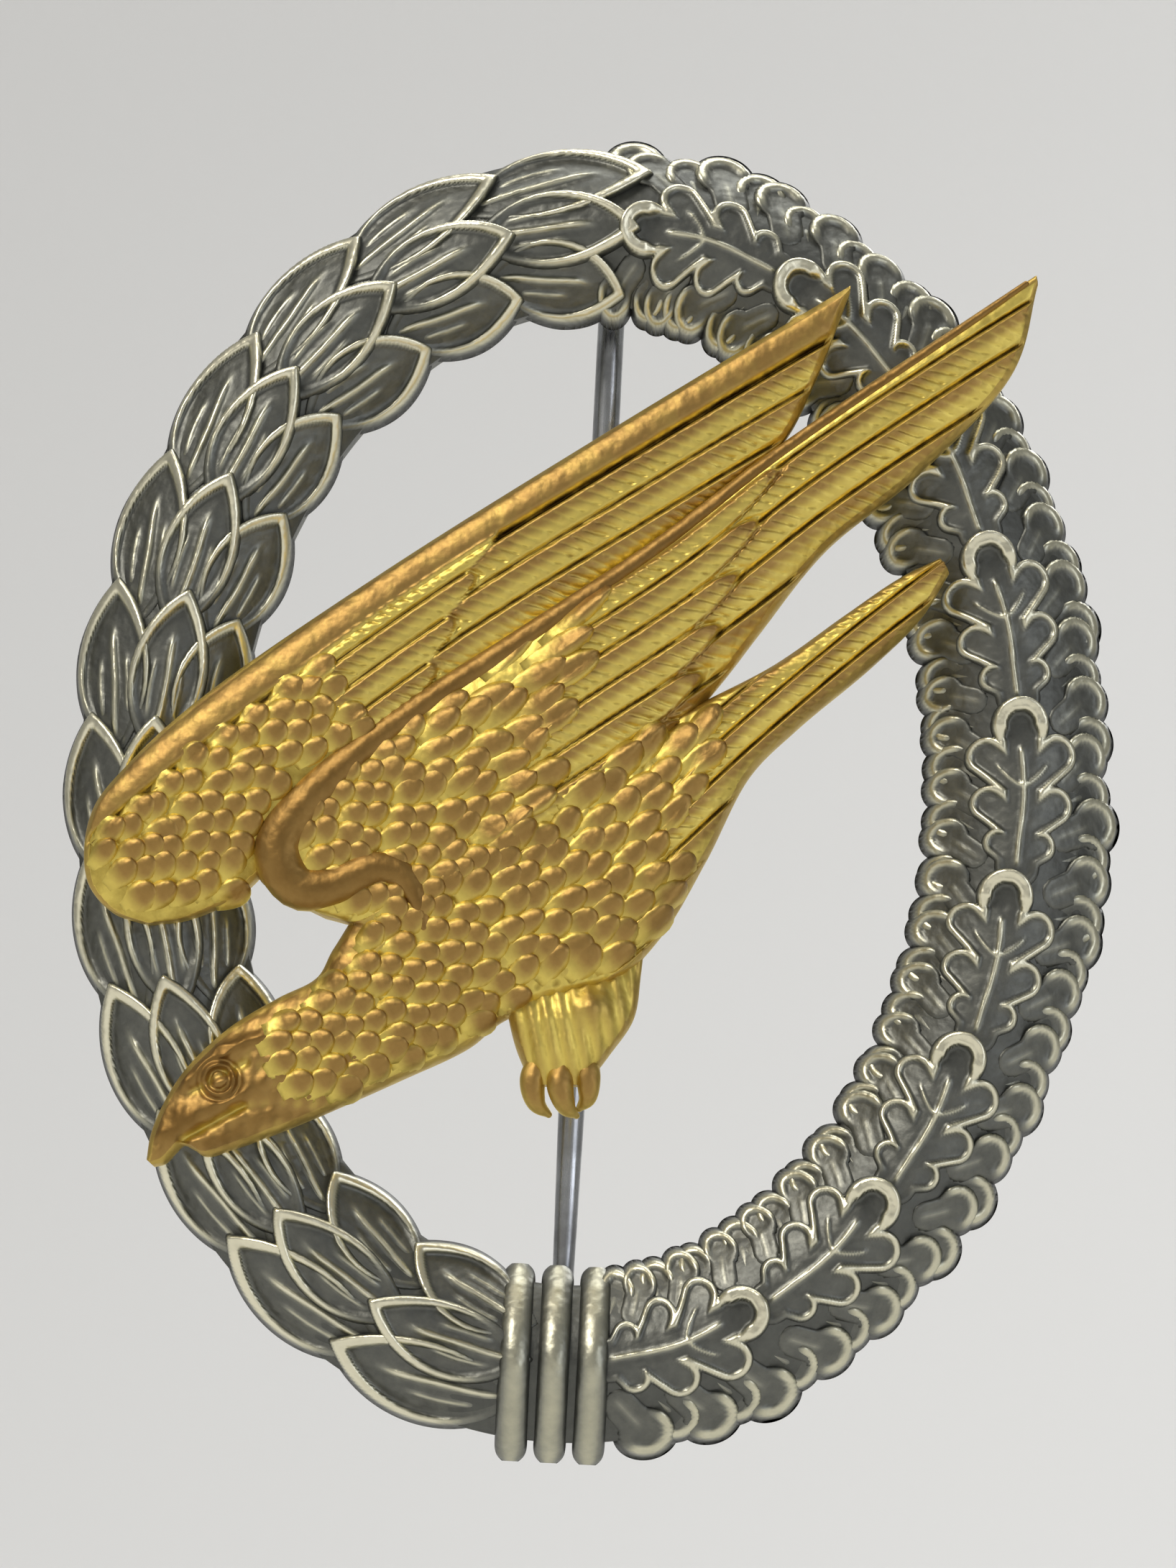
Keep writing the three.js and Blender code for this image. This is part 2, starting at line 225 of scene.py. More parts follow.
# %% Smooth lines and soft steps
def smooth_line(points, count):
    """count points, evenly spaced by length, on a smooth line through the given ones."""
    knots = np.array(points, float)
    steps = np.linalg.norm(np.diff(knots, axis=0), axis=1) ** 0.5
    when = np.concatenate([[0], np.cumsum(steps)])
    slopes = np.gradient(knots, when, axis=0)
    fine = np.linspace(0, when[-1], 60 * len(knots))
    k = np.clip(np.searchsorted(when, fine, side="right") - 1, 0, len(knots) - 2)
    span = (when[k + 1] - when[k])[:, None]
    t = ((fine - when[k]) / span[:, 0])[:, None]
    line = ((2 * t**3 - 3 * t**2 + 1) * knots[k] + (t**3 - 2 * t**2 + t) * span * slopes[k]
            + (-2 * t**3 + 3 * t**2) * knots[k + 1] + (t**3 - t**2) * span * slopes[k + 1])
    length = np.concatenate([[0], np.cumsum(np.linalg.norm(np.diff(line, axis=0), axis=1))])
    wanted = np.linspace(0, length[-1], count)
    return np.stack([np.interp(wanted, length, line[:, i]) for i in range(line.shape[1])], axis=1)


def step_up(low, high, x):
    """0 below low, 1 above high, and smooth between them."""
    t = np.clip((x - low) / (high - low), 0, 1)
    return t * t * (3 - 2 * t)


def bell(x, width):
    """A ridge of height 1 at x = 0, about as wide as width at half its height."""
    return np.exp(-(x / (0.6 * width)) ** 2)

# %% Meshes
def link(name, data):
    """A new object in the scene."""
    thing = bpy.data.objects.new(name, data)
    bpy.context.scene.collection.objects.link(thing)
    return thing


def make_mesh(name, vertices, faces, wear, material, soft=True, open_back=False, crisp=False):
    """A closed mesh with a wear value on each vertex. soft says which faces are shaded smooth,
    open_back fills a missing back, and crisp merges doubles and keeps steep edges sharp."""
    mesh = bpy.data.meshes.new(name)
    mesh.from_pydata(np.asarray(vertices).tolist(), [], faces)
    worn = np.clip(wear, 0, 1).astype(np.float32).ravel()
    mesh.attributes.new("wear", "FLOAT", "POINT").data.foreach_set("value", worn)
    mesh.polygons.foreach_set("use_smooth", np.resize(soft, len(faces)))
    shape = bmesh.new()
    shape.from_mesh(mesh)
    if open_back:
        edges = [edge for edge in shape.edges if edge.is_boundary]
        for face in bmesh.ops.holes_fill(shape, edges=edges, sides=0)["faces"]:
            face.smooth = False
    if crisp:
        bmesh.ops.remove_doubles(shape, verts=shape.verts, dist=0.001 * MM)
        bmesh.ops.dissolve_degenerate(shape, edges=shape.edges, dist=0.001 * MM)
    bmesh.ops.recalc_face_normals(shape, faces=shape.faces)
    shape.to_mesh(mesh)
    shape.free()
    if crisp:
        mesh.set_sharp_from_angle(angle=math.radians(40))
    mesh.materials.append(material)
    return link(name, mesh)


def skin(name, rings, wear, material, closed=False, flat_back=False, crisp=False):
    """A mesh over rings of points. They close into a loop, or else both ends are filled. With
    flat_back, the last two points of a ring lie on the back."""
    count, size = rings.shape[:2]
    grid = np.arange(count * size).reshape(count, size)
    there = np.roll(grid, -1, axis=0)
    quads = np.stack([grid, np.roll(grid, -1, axis=1), np.roll(there, -1, axis=1), there], axis=2)
    faces = quads[:count if closed else -1].reshape(-1, 4).tolist()
    ends = [] if closed else [grid[0].tolist(), grid[-1].tolist()]
    soft = [not flat_back or j % size < size - 3 for j in range(len(faces))]
    soft += [not flat_back] * len(ends)
    worn = np.broadcast_to(wear, (count, size))
    return make_mesh(name, rings.reshape(-1, 3), faces + ends, worn, material, soft, crisp=crisp)


def struck(name, front, wear, back, material, back_wear=0.35, closed=False):
    """A struck piece from the grid of its front: straight sides, and a flat back at y = back."""
    under = front[:, [-1, 0]].copy()
    under[..., 1] = back
    front_wear = np.broadcast_to(wear, front.shape[:2])
    worn = np.concatenate([front_wear, np.full((len(front), 2), back_wear)], axis=1)
    return skin(name, np.concatenate([front, under], axis=1), worn, material, closed, flat_back=True)


def triangles(piece):
    """How many triangles a piece has."""
    return sum(len(face.vertices) - 2 for face in piece.data.polygons)


def finish_piece(piece, body, slot, *nodes):
    """The piece rides on a body and stands for CAD nodes, which it hides. The slot is not used."""
    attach(piece, body)
    if nodes:
        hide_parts(*nodes)
    print(f"{piece.name}: {triangles(piece)} triangles on {body}")

# %% [markdown]
# ## The wreath's core
#
# Under its leaves the wreath is a plain band: flat behind, domed in front, bent round an oval. A
# swept curve turns its profile as it likes, and here the back has to stay exactly flat. So the band
# is rings: at each step round the oval, a profile across the band.

# %% The band under the leaves
CORE_INSET = 0.42 * MM  # the core is narrower than the band, so that the leaves overhang it
CORE_SUNK = 0.12 * MM  # and its dome lies a little lower


def band_thickness(across):
    """Thickness of the band, with across measured from its middle."""
    return BAND_EDGE + (BAND_CREST - BAND_EDGE) * np.cos(np.pi / 2 * across / BAND_HALF)


def wreath_core(stations=480, profile=25):
    angle = np.linspace(0, 2 * np.pi, stations, endpoint=False)[:, None]
    run_x, run_z = oval_half_width * np.cos(angle), -oval_half_height * np.sin(angle)
    across = np.linspace(-1, 1, profile) * (BAND_HALF - CORE_INSET)
    shift = across / np.hypot(run_x, run_z)
    x = oval_half_width * np.sin(angle) - run_z * shift
    z = oval_half_height * np.cos(angle) + run_x * shift
    y = np.broadcast_to(CORE_SUNK - band_thickness(across), x.shape)
    return struck("wreath_core", np.stack([x, y, z], axis=2), 0.26, 0.0, oxidised_silver, closed=True)


finish_piece(wreath_core(), "badge", "silvered_brass", "wreath")

# %% [markdown]
# ## A leaf as a height map
#
# A struck leaf is a height over its outline: the margin is a raised rim, the vein a ridge, and the
# face between them is dished. The *distance to the margin* gives all three, because a rim is
# simply "high where that distance is small". So a leaf needs one function: distance to its own
# margin. The sheet below samples such a function on a fine grid, drops the cells outside the leaf
# and closes the back. Its last vertices are moved onto one smooth line a little outside the margin.

# %% A closed plate from a height function
SINK = -0.5  # how far the plate's back lies below the band's surface, in mm
MARGIN = -0.16  # how far outside its margin a leaf's side reaches the back, in mm


def relief_plate(name, start, end, half, cell, height):
    """A leaf along X. height(x, y) gives the height in mm, the wear, and the distance to the margin."""
    x, y = np.meshgrid(np.arange(start, end + cell, cell), np.arange(-half, half + cell, cell), indexing="ij")
    distance = height(x, y)[2]
    inside = distance > MARGIN
    cells = inside[:-1, :-1] | inside[1:, :-1] | inside[:-1, 1:] | inside[1:, 1:]
    slope_x, slope_y = np.gradient(distance, cell)
    steep = np.maximum(slope_x**2 + slope_y**2, 0.25)
    pull = np.where(distance < MARGIN, (MARGIN - distance) / steep, 0)
    x, y = x + pull * slope_x, y + pull * slope_y
    z, wear, _ = height(x, y)
    number = np.arange(x.size).reshape(x.shape)
    i, j = np.nonzero(cells)
    faces = np.stack([number[i, j], number[i + 1, j], number[i + 1, j + 1], number[i, j + 1]], axis=1)
    used, faces = np.unique(faces, return_inverse=True)
    points = np.stack([x.ravel(), y.ravel(), z.ravel()], axis=1)[used] * MM
    plate = make_mesh(name, points, faces.reshape(-1, 4).tolist(), wear.ravel()[used], oxidised_silver,
                      open_back=True)
    print(f"{name}: {triangles(plate)} triangles")
    return plate


def bar_distance(x, y, start, end, radius):
    """How far inside a round-ended bar a point is. It is negative outside."""
    ax, ay = start
    dx, dy = end[0] - ax, end[1] - ay
    t = np.clip(((x - ax) * dx + (y - ay) * dy) / (dx * dx + dy * dy), 0, 1)
    return radius - np.hypot(x - ax - t * dx, y - ay - t * dy)


def band_rim(distance, width):
    """A flat-topped rim: 1 from the margin inwards over this width, then it falls off."""
    return step_up(-0.08, 0.06, distance) * (1 - step_up(width, width + 0.14, distance))

# %% [markdown]
# ### The laurel leaf
#
# A laurel leaf is where two equal circles overlap, pointed at both ends. Its rim is broad at the
# tip and fades towards the base, which lies under the tip of the leaf below. It has one vein and a
# few fine strokes beside it.

# %% Model one laurel leaf
LAUREL_LENGTH = 7.0
LAUREL_WIDTH = 3.0


def laurel_height(x, y):
    half_length, half_width = LAUREL_LENGTH / 2, LAUREL_WIDTH / 2
    radius = (half_length**2 + half_width**2) / (2 * half_width)
    distance = radius - np.hypot(x - half_length, np.abs(y) + radius - half_width)
    u = np.clip(x / LAUREL_LENGTH, 0, 1)
    rim = band_rim(distance, 0.14 + 0.22 * step_up(0.35, 0.95, u)) * step_up(0.12, 0.5, u)
    slope = step_up(-0.2, 0.04, distance)
    inner = step_up(0.2, 0.5, distance)
    vein = bell(y - 0.05 * np.sin(1.6 * x), 0.2) * step_up(0.06, 0.2, u) * (1 - step_up(0.6, 0.78, u))
    strokes = bell(np.abs(y) - 0.58 + 0.35 * np.abs(u - 0.42), 0.13)
    strokes = strokes * step_up(0.22, 0.3, u) * (1 - step_up(0.5, 0.6, u))
    z = SINK + (0.05 + 0.3 * u - SINK) * slope + 0.26 * rim + (0.24 * vein + 0.13 * strokes - 0.14) * inner
    wear = 0.32 * slope + 0.7 * rim + (0.75 * vein + 0.5 * strokes) * inner
    return z, wear, distance


laurel_leaf = relief_plate("laurel_leaf", -0.3, LAUREL_LENGTH + 0.3, 1.9, 0.085, laurel_height)

# %% [markdown]
# ### The oak leaf
#
# An oak leaf has round lobes. The union of a few round-ended bars gives that outline: a midrib,
# pairs of side lobes and a round tip. The distance to a bar is easy to write, and the distance to
# the whole leaf is the largest of theirs. The rim then follows every lobe by itself, which is what
# the curled edges of the real leaves do.

# %% Model one oak leaf
OAK_LENGTH = 7.5
OAK_BARS = [  # from the midrib: start and end as (along, aside), and radius, in mm
    ((0.6, 0.0), (5.7, 0.0), 0.86), ((1.1, 0.3), (1.5, 0.85), 0.6), ((2.4, 0.4), (3.15, 1.35), 0.72),
    ((4.2, 0.4), (5.15, 1.45), 0.78),
]
OAK_TIP = (6.35, 1.12)


def oak_height(x, y):
    side = np.abs(y)
    distance = OAK_TIP[1] - np.hypot(x - OAK_TIP[0], y)
    for start, end, radius in OAK_BARS:
        distance = np.maximum(distance, bar_distance(x, side, start, end, radius))
    u = np.clip(x / OAK_LENGTH, 0, 1)
    at_tip = step_up(5.75, 6.35, x)
    strength = np.clip(0.9 * step_up(0.35, 0.8, side) * step_up(0.06, 0.2, u) + at_tip, 0, 1)
    rim = band_rim(distance, 0.12 + 0.08 * u + 0.3 * at_tip) * strength
    slope = step_up(-0.16, 0.02, distance)
    inner = step_up(0.1, 0.4, distance)
    midrib = bell(y - 0.06 * np.sin(1.3 * x), 0.16) * step_up(0.5, 0.9, x) * (1 - step_up(5.2, 5.6, x))
    ribs = bell(x - 3.9 - 0.8 * side**1.6, 0.15) * (1 - step_up(0.9, 1.15, side)) * (1 - midrib)
    pocket = bell(np.hypot(x - 6.1, y), 0.8)
    z = SINK + (0.02 + 0.14 * u - SINK) * slope + (0.2 + 0.3 * at_tip) * rim
    z = z + (0.18 * midrib + 0.12 * ribs - 0.08 - 0.06 * pocket) * inner
    wear = 0.32 * slope + (0.68 + 0.08 * at_tip) * rim + (0.75 * midrib + 0.55 * ribs - 0.12 * pocket) * inner
    return z, wear, distance


oak_leaf = relief_plate("oak_leaf", -0.6, OAK_LENGTH + 0.3, 2.5, 0.085, oak_height)

# %% [markdown]
# Between the oak leaves both edges of the band are crowded with the ends of leaves that lie
# underneath. Each is one round lobe with a curled rim, open towards its stalk.

# %% Model one lobe for the crowded edges
def lobe_height(x, y):
    distance = np.maximum(0.74 - np.hypot(x - 1.15, y), bar_distance(x, y, (0.0, 0.0), (1.0, 0.0), 0.5))
    curl = step_up(0.8, 1.35, x + 0.25 * y)
    rim = band_rim(distance, 0.12 + 0.1 * curl) * curl
    slope = step_up(-0.16, 0.03, distance)
    hollow = step_up(0.2, 0.5, distance)
    vein = bell(y, 0.16) * (1 - step_up(0.7, 1.0, x)) * hollow
    z = SINK + (0.05 + 0.08 * x - SINK) * slope + 0.14 * rim - 0.06 * hollow + 0.08 * vein
    return z, 0.34 * slope + 0.52 * rim + 0.25 * vein, distance


edge_lobe = relief_plate("edge_lobe", -0.8, 2.2, 1.1, 0.1, lobe_height)

# %% [markdown]
# ## Laying the leaves along the band
#
# The leaves repeat along a path, which is work for Geometry Nodes. The tree below lays a straight
# frieze first: instances on a line, each turned and sized a little by chance from a fixed seed.
# Then it bends the whole frieze onto the band. A point's X says how far along the oval it belongs,
# its Y how far across the band, and its Z how high above the domed core. Bending points instead of
# placing stiff copies lets every leaf follow the curve and the dome.

# %% The oval as two curves, from the tie up each side
def curve_object(name, points, radii):
    """A polyline through points, with a radius at each for a tree that wants one."""
    data = bpy.data.curves.new(name, "CURVE")
    data.dimensions = "3D"
    line = data.splines.new("POLY")
    line.points.add(len(points) - 1)
    for point, radius, knot in zip(points, radii, line.points):
        knot.co = (*point, 1.0)
        knot.radius = radius
    return link(name, data)


def half_oval(name, side):
    """From the tie to a little past the top, so that the last leaves have a path too."""
    turn = np.linspace(0, 1.1 * np.pi, 264)
    points = [(side * oval_half_width * math.sin(t), 0.0, -oval_half_height * math.cos(t)) for t in turn]
    return curve_object(name, points, [1.0] * len(points))


left_oval, right_oval = half_oval("left_oval", -1), half_oval("right_oval", 1)
half_turn = np.linspace(0, np.pi, 2000)
half_length = float(np.sum(np.hypot(np.diff(oval_half_width * np.sin(half_turn)),
                                    np.diff(oval_half_height * np.cos(half_turn)))))
print("from the tie to the top along the band in mm:", round(half_length / MM, 1))

# %% Start, end and run a geometry tree
def new_tree(name, sockets):
    """A geometry tree with named inputs, and what each hands over: of an object, its geometry."""
    tree = bpy.data.node_groups.new(name, "GeometryNodeTree")
    for socket, kind in sockets.items():
        tree.interface.new_socket(socket, in_out="INPUT", socket_type="NodeSocket" + kind)
    tree.interface.new_socket("Geometry", in_out="OUTPUT", socket_type="NodeSocketGeometry")
    given = dict(add(tree, "NodeGroupInput").outputs.items())
    for socket, kind in sockets.items():
        if kind == "Object":
            thing = add(tree, "GeometryNodeObjectInfo", {"Object": given[socket]})
            given[socket] = thing.outputs["Geometry"]
    return tree, given


def end_tree(tree, geometry, material):
    """Ends a tree the way an export needs: real geometry, and its material."""
    real = add(tree, "GeometryNodeRealizeInstances", {"Geometry": geometry})
    coated = add(tree, "GeometryNodeSetMaterial", {"Geometry": real, "Material": material})
    add(tree, "NodeGroupOutput", {"Geometry": coated})
    print(f"{tree.name}: {len(tree.nodes)} nodes")
    return tree


def grow(name, tree, values):
    """The mesh that a tree makes with these input values, as an object at the origin."""
    seed = link("seed", bpy.data.meshes.new("seed"))
    modifier = seed.modifiers.new("grow", "NODES")
    modifier.node_group = tree
    for item in tree.interface.items_tree:
        if item.in_out == "INPUT":
            modifier[item.identifier] = values[item.name]
    depsgraph = bpy.context.evaluated_depsgraph_get()
    mesh = bpy.data.meshes.new_from_object(seed.evaluated_get(depsgraph))
    mesh.name = name
    bpy.data.objects.remove(seed)
    return link(name, mesh)

# %% The frieze tree
def frieze_tree():
    tree, given = new_tree("bent_frieze", {
        "Leaf": "Object", "Oval": "Object", "Count": "Int", "Start": "Vector", "Pitch": "Vector",
        "Turn": "Float", "Size": "Float", "Jitter": "Float", "Seed": "Int", "Band half": "Float",
        "Edge": "Float", "Crest": "Float", "Least height": "Float", "Material": "Material",
    })
    row = add(tree, "GeometryNodeMeshLine", {"Count": given["Count"], "Start Location": given["Start"],
                                             "Offset": given["Pitch"]}, mode="OFFSET")
    chance = add(tree, "FunctionNodeRandomValue", {2: -1.0, 3: 1.0, "Seed": given["Seed"]})
    swing = add(tree, "ShaderNodeMath", {0: chance, 1: given["Jitter"], 2: given["Turn"]},
                operation="MULTIPLY_ADD")
    euler = add(tree, "ShaderNodeCombineXYZ", {"Z": swing})
    turn = add(tree, "FunctionNodeEulerToRotation", {"Euler": euler})
    shrink = add(tree, "ShaderNodeMath", {0: given["Jitter"], 1: -0.4}, operation="MULTIPLY")
    sizes = add(tree, "ShaderNodeMath", {0: chance, 1: shrink, 2: given["Size"]}, operation="MULTIPLY_ADD")
    leaves = add(tree, "GeometryNodeInstanceOnPoints", {"Points": row, "Instance": given["Leaf"],
                                                        "Rotation": turn, "Scale": sizes})
    flat = add(tree, "GeometryNodeRealizeInstances", {"Geometry": leaves})

    place = add(tree, "ShaderNodeSeparateXYZ", {0: add(tree, "GeometryNodeInputPosition")}).outputs
    on_oval = add(tree, "GeometryNodeSampleCurve", {"Curves": given["Oval"], "Length": place["X"]},
                  mode="LENGTH").outputs
    across = add(tree, "ShaderNodeVectorMath", {0: on_oval["Tangent"], 1: (0.0, 1.0, 0.0)},
                 operation="CROSS_PRODUCT")
    aside = add(tree, "ShaderNodeVectorMath", {0: across, "Scale": place["Y"]}, operation="SCALE")
    share = add(tree, "ShaderNodeMath", {0: place["Y"], 1: given["Band half"]}, operation="DIVIDE")
    angle = add(tree, "ShaderNodeMath", {0: share, 1: math.pi / 2}, operation="MULTIPLY")
    dome = add(tree, "ShaderNodeMath", {0: angle}, operation="COSINE")
    rise = add(tree, "ShaderNodeMath", {0: given["Crest"], 1: given["Edge"]}, operation="SUBTRACT")
    domed = add(tree, "ShaderNodeMath", {0: dome, 1: rise, 2: given["Edge"]}, operation="MULTIPLY_ADD")
    above = add(tree, "ShaderNodeMath", {0: domed, 1: place["Z"]}, operation="ADD")
    height = add(tree, "ShaderNodeMath", {0: above, 1: given["Least height"]}, operation="MAXIMUM")
    front = add(tree, "ShaderNodeVectorMath", {0: (0.0, -1.0, 0.0), "Scale": height}, operation="SCALE")
    moved = add(tree, "ShaderNodeVectorMath", {0: on_oval["Position"], 1: aside}, operation="ADD")
    there = add(tree, "ShaderNodeVectorMath", {0: moved, 1: front}, operation="ADD")
    bent = add(tree, "GeometryNodeSetPosition", {"Geometry": flat, "Position": there})
    return end_tree(tree, bent, given["Material"])


bent_frieze = frieze_tree()

# %% [markdown]
# The laurel is three rows: one down the middle of the band, and one on each side of it whose leaves
# lean outwards and lie lower, so that the middle row covers their inner halves. The oak is one row
# of whole leaves, with two rows of lobes along each edge. Tips and lobes stand past the edge of the
# core and give the wreath its scalloped outline.

# %% Lay both friezes
TIE_HALF = 2.0 * MM


def lay_rows(kind, leaf, oval, count, length, rows, jitter=0.05):
    """rows: name, offset along and across, lift, lean in degrees, and size, all lengths in mm."""
    pitch = (half_length - TIE_HALF) / count
    for seed, (row, along, across, lift, lean, size) in enumerate(rows):
        start = (TIE_HALF + pitch - length * MM + along * MM, across * MM, lift * MM)
        piece = grow(f"{kind}_{row}", bent_frieze, {
            "Leaf": leaf, "Oval": oval, "Count": count, "Start": start, "Pitch": (pitch, 0.0, 0.0),
            "Turn": math.radians(lean), "Size": size, "Jitter": jitter, "Seed": seed,
            "Band half": BAND_HALF, "Edge": BAND_EDGE, "Crest": BAND_CREST, "Least height": 0.1 * MM,
            "Material": oxidised_silver,
        })
        finish_piece(piece, "badge", "silvered_brass", "wreath")


lay_rows("laurel", laurel_leaf, left_oval, 12, LAUREL_LENGTH, [
    ("middle", 0.9, 0.0, 0.02, 0, 1.0), ("outer", 1.0, 1.45, -0.14, 9, 1.02),
    ("inner", 0.8, -1.45, -0.14, -9, 0.98),
])
lay_rows("oak", oak_leaf, right_oval, 9, OAK_LENGTH, [("middle", 0.0, 0.0, 0.04, 0, 1.0)])
lay_rows("oak_edge", edge_lobe, right_oval, 28, 1.5, [
    ("inner", 0.6, 1.75, -0.1, 52, 1.2), ("outer", -0.5, -1.75, -0.1, -52, 1.2),
    ("inner_under", -0.6, 1.6, -0.22, 68, 1.15), ("outer_under", 0.7, -1.6, -0.22, -68, 1.15),
], jitter=0.22)

# %% [markdown]
# ## The tie
#
# Three turns of ribbon hold the stems together at the foot. Each is a half-round strap that
# follows the dome across the band. One strap is modelled and Geometry Nodes repeats it.

# %% Three straps
STRAP_WIDTH = 1.3 * MM
STRAP_PITCH = 1.55 * MM
STRAP_PROUD = 0.4 * MM
STRAP_ROUND = 0.6 * MM  # how deep its half-round section is
STRAP_END = 0.5 * MM  # over this length before the band's edge it begins to turn down
TIE_MIDDLE = -0.2 * MM


def tie_strap(stations=61, profile=15):
    """One strap across the band, at x = 0."""
    across = np.sin(np.linspace(-np.pi / 2, np.pi / 2, stations))[:, None] * (BAND_HALF + STRAP_PROUD)
    end = np.clip((np.abs(across) - BAND_HALF + STRAP_END) / (STRAP_END + STRAP_PROUD), 0, 1)
    top = band_thickness(np.clip(across, -BAND_HALF, BAND_HALF)) + STRAP_PROUD * (1 - end**2)
    bow = np.linspace(-1, 1, profile)
    arch = np.sqrt(1 - bow**2)
    x = bow * STRAP_WIDTH / 2 * (1 - 0.5 * end**4)
    y = STRAP_ROUND * (1 - arch) - top * (1 - 0.45 * end**3)
    z = np.broadcast_to(across - oval_half_height, x.shape)
    wear = 0.24 + 0.5 * arch**2
    return struck("tie_strap", np.stack([x, y, z], axis=2), wear, -0.03 * MM, oxidised_silver, back_wear=0.1)


def repeat_tree():
    """Copies an object along a line."""
    tree, given = new_tree("repeat_on_line", {
        "Thing": "Object", "Count": "Int", "First": "Vector", "Step": "Vector", "Material": "Material",
    })
    row = add(tree, "GeometryNodeMeshLine", {"Count": given["Count"], "Start Location": given["First"],
                                             "Offset": given["Step"]}, mode="OFFSET")
    copies = add(tree, "GeometryNodeInstanceOnPoints", {"Points": row, "Instance": given["Thing"]})
    return end_tree(tree, copies, given["Material"])


strap = tie_strap()
tie = grow("tie_bands", repeat_tree(), {
    "Thing": strap, "Count": 3, "First": (TIE_MIDDLE - STRAP_PITCH, 0.0, 0.0),
    "Step": (STRAP_PITCH, 0.0, 0.0), "Material": oxidised_silver,
})
finish_piece(tie, "badge", "silvered_brass", "wreath")

# %% [markdown]
# ## The bird's large forms
#
# The bird is four overlapping forms: the far wing, the body with head and tail, the near wing over
# it, and a leg. Each lies between two smooth edge lines that run from root to tip, and it swells
# between them like a cushion. So the outline of a form is two lists of [x, z] points in millimetres
# and a few heights of its crest.

# %% Outlines of the bird's forms
FAR_WING = dict(
    lead=[[-17.4, -6.6], [-18.7, -6.2], [-19.7, -5.2], [-20.0, -3.7], [-19.7, -2.0], [-18.5, -0.3],
          [-16.0, 2.3], [-8.9, 7.9], [-0.2, 14.1], [5.6, 18.1], [9.6, 20.8]],
    trail=[[-17.0, -6.6], [-15.6, -6.3], [-13.6, -5.2], [-11.4, -2.6], [-7.6, 1.2], [-1.8, 6.3], [4.6, 11.6],
           [7.1, 14.1], [8.4, 16.9], [9.6, 20.5]],
    crest=[0.8, 1.8, 1.75, 1.5, 1.45, 1.35, 1.1, 0.75], grid=(520, 100), power=0.32,
)
BODY = dict(
    lead=[[-16.75, -16.0], [-16.65, -15.0], [-16.2, -13.7], [-15.4, -12.3], [-13.8, -10.6], [-11.9, -9.3],
          [-10.4, -8.4], [-9.8, -7.2], [-7.8, -4.2], [-1.0, 0.0], [4.0, 3.2], [7.2, 5.1], [10.0, 7.3],
          [12.1, 8.9], [13.7, 9.8]],
    trail=[[-16.45, -16.25], [-16.0, -16.1], [-15.6, -15.65], [-15.3, -15.35], [-14.9, -15.5],
           [-14.4, -15.75], [-13.2, -15.35], [-10.8, -14.3], [-6.8, -12.3], [-4.2, -10.9], [-2.8, -9.7],
           [1.2, -8.2], [3.2, -6.1], [4.9, -2.9], [6.5, 0.6], [8.3, 2.6], [11.2, 5.3], [13.1, 7.4],
           [14.1, 9.2]],
    crest=[0.9, 1.5, 1.7, 1.8, 1.9, 2.05, 2.1, 2.0, 1.7, 1.4, 1.1, 0.8], grid=(620, 100),
)
NEAR_WING = dict(
    lead=[[-11.6, -5.4], [-12.9, -4.6], [-13.3, -3.4], [-12.3, -1.3], [-7.9, 2.3], [-2.8, 6.1], [2.3, 9.9],
          [7.1, 14.1], [13.1, 18.7], [17.1, 21.6]],
    trail=[[-10.2, -6.0], [-8.0, -6.4], [-5.0, -6.3], [-1.6, -4.4], [2.2, 0.4], [5.3, 4.5], [6.6, 6.4],
           [9.1, 9.9], [12.8, 13.3], [16.4, 17.7], [17.2, 21.2]],
    crest=[1.5, 1.85, 2.05, 2.05, 2.0, 1.9, 1.75, 1.5, 1.2, 0.8], grid=(600, 130), skew=0.72,
)
LEG = dict(
    lead=[[-2.2, -6.8], [-2.9, -8.4], [-2.7, -9.6], [-2.3, -10.9], [-1.6, -12.3]],
    trail=[[2.6, -5.8], [2.5, -7.6], [2.3, -9.4], [1.4, -10.9], [0.5, -12.2]],
    crest=[0.6, 1.2, 1.8, 1.8, 1.3], grid=(160, 60),
)

# %% [markdown]
# ### Pressed together like clay
#
# The wing grows out of the body, so their surfaces must meet without a crease. Each form is first
# made bare, and a ray sent through the other one says how thick that is at the same place. Near
# the line where the two are equal both are thickened a little, which is what a smooth maximum
# does, and the crease fills.

# %% Bare surfaces and how they melt together
FORM_EDGE = 0.55  # thickness of a form along its outline, in mm
IN_FRONT = -30  # where a ray starts, well in front of the bird, in mm


def bare_surface(outline):
    """The [x, z] grid of a form's front and its height over the back, in mm."""
    n, m = outline["grid"]
    lead, trail = smooth_line(outline["lead"], n), smooth_line(outline["trail"], n)
    share = (1 - np.cos(np.linspace(0, np.pi, m))) / 4 + np.linspace(0, 1, m) / 2
    flat = lead[:, None] + (trail - lead)[:, None] * share[None, :, None]
    knots = outline["crest"]
    crest = np.interp(np.linspace(0, 1, n), np.linspace(0, 1, len(knots)), knots)
    window = 2 * (n // 12) + 1
    crest = np.convolve(np.pad(crest, window // 2, mode="edge"), np.ones(window) / window, "valid")
    leant = share ** outline.get("skew", 1.0)
    dome = np.maximum(1 - np.abs(2 * leant - 1) ** 2.4, 0) ** outline.get("power", 0.5)
    return flat, FORM_EDGE + (crest[:, None] - FORM_EDGE) * dome[None]


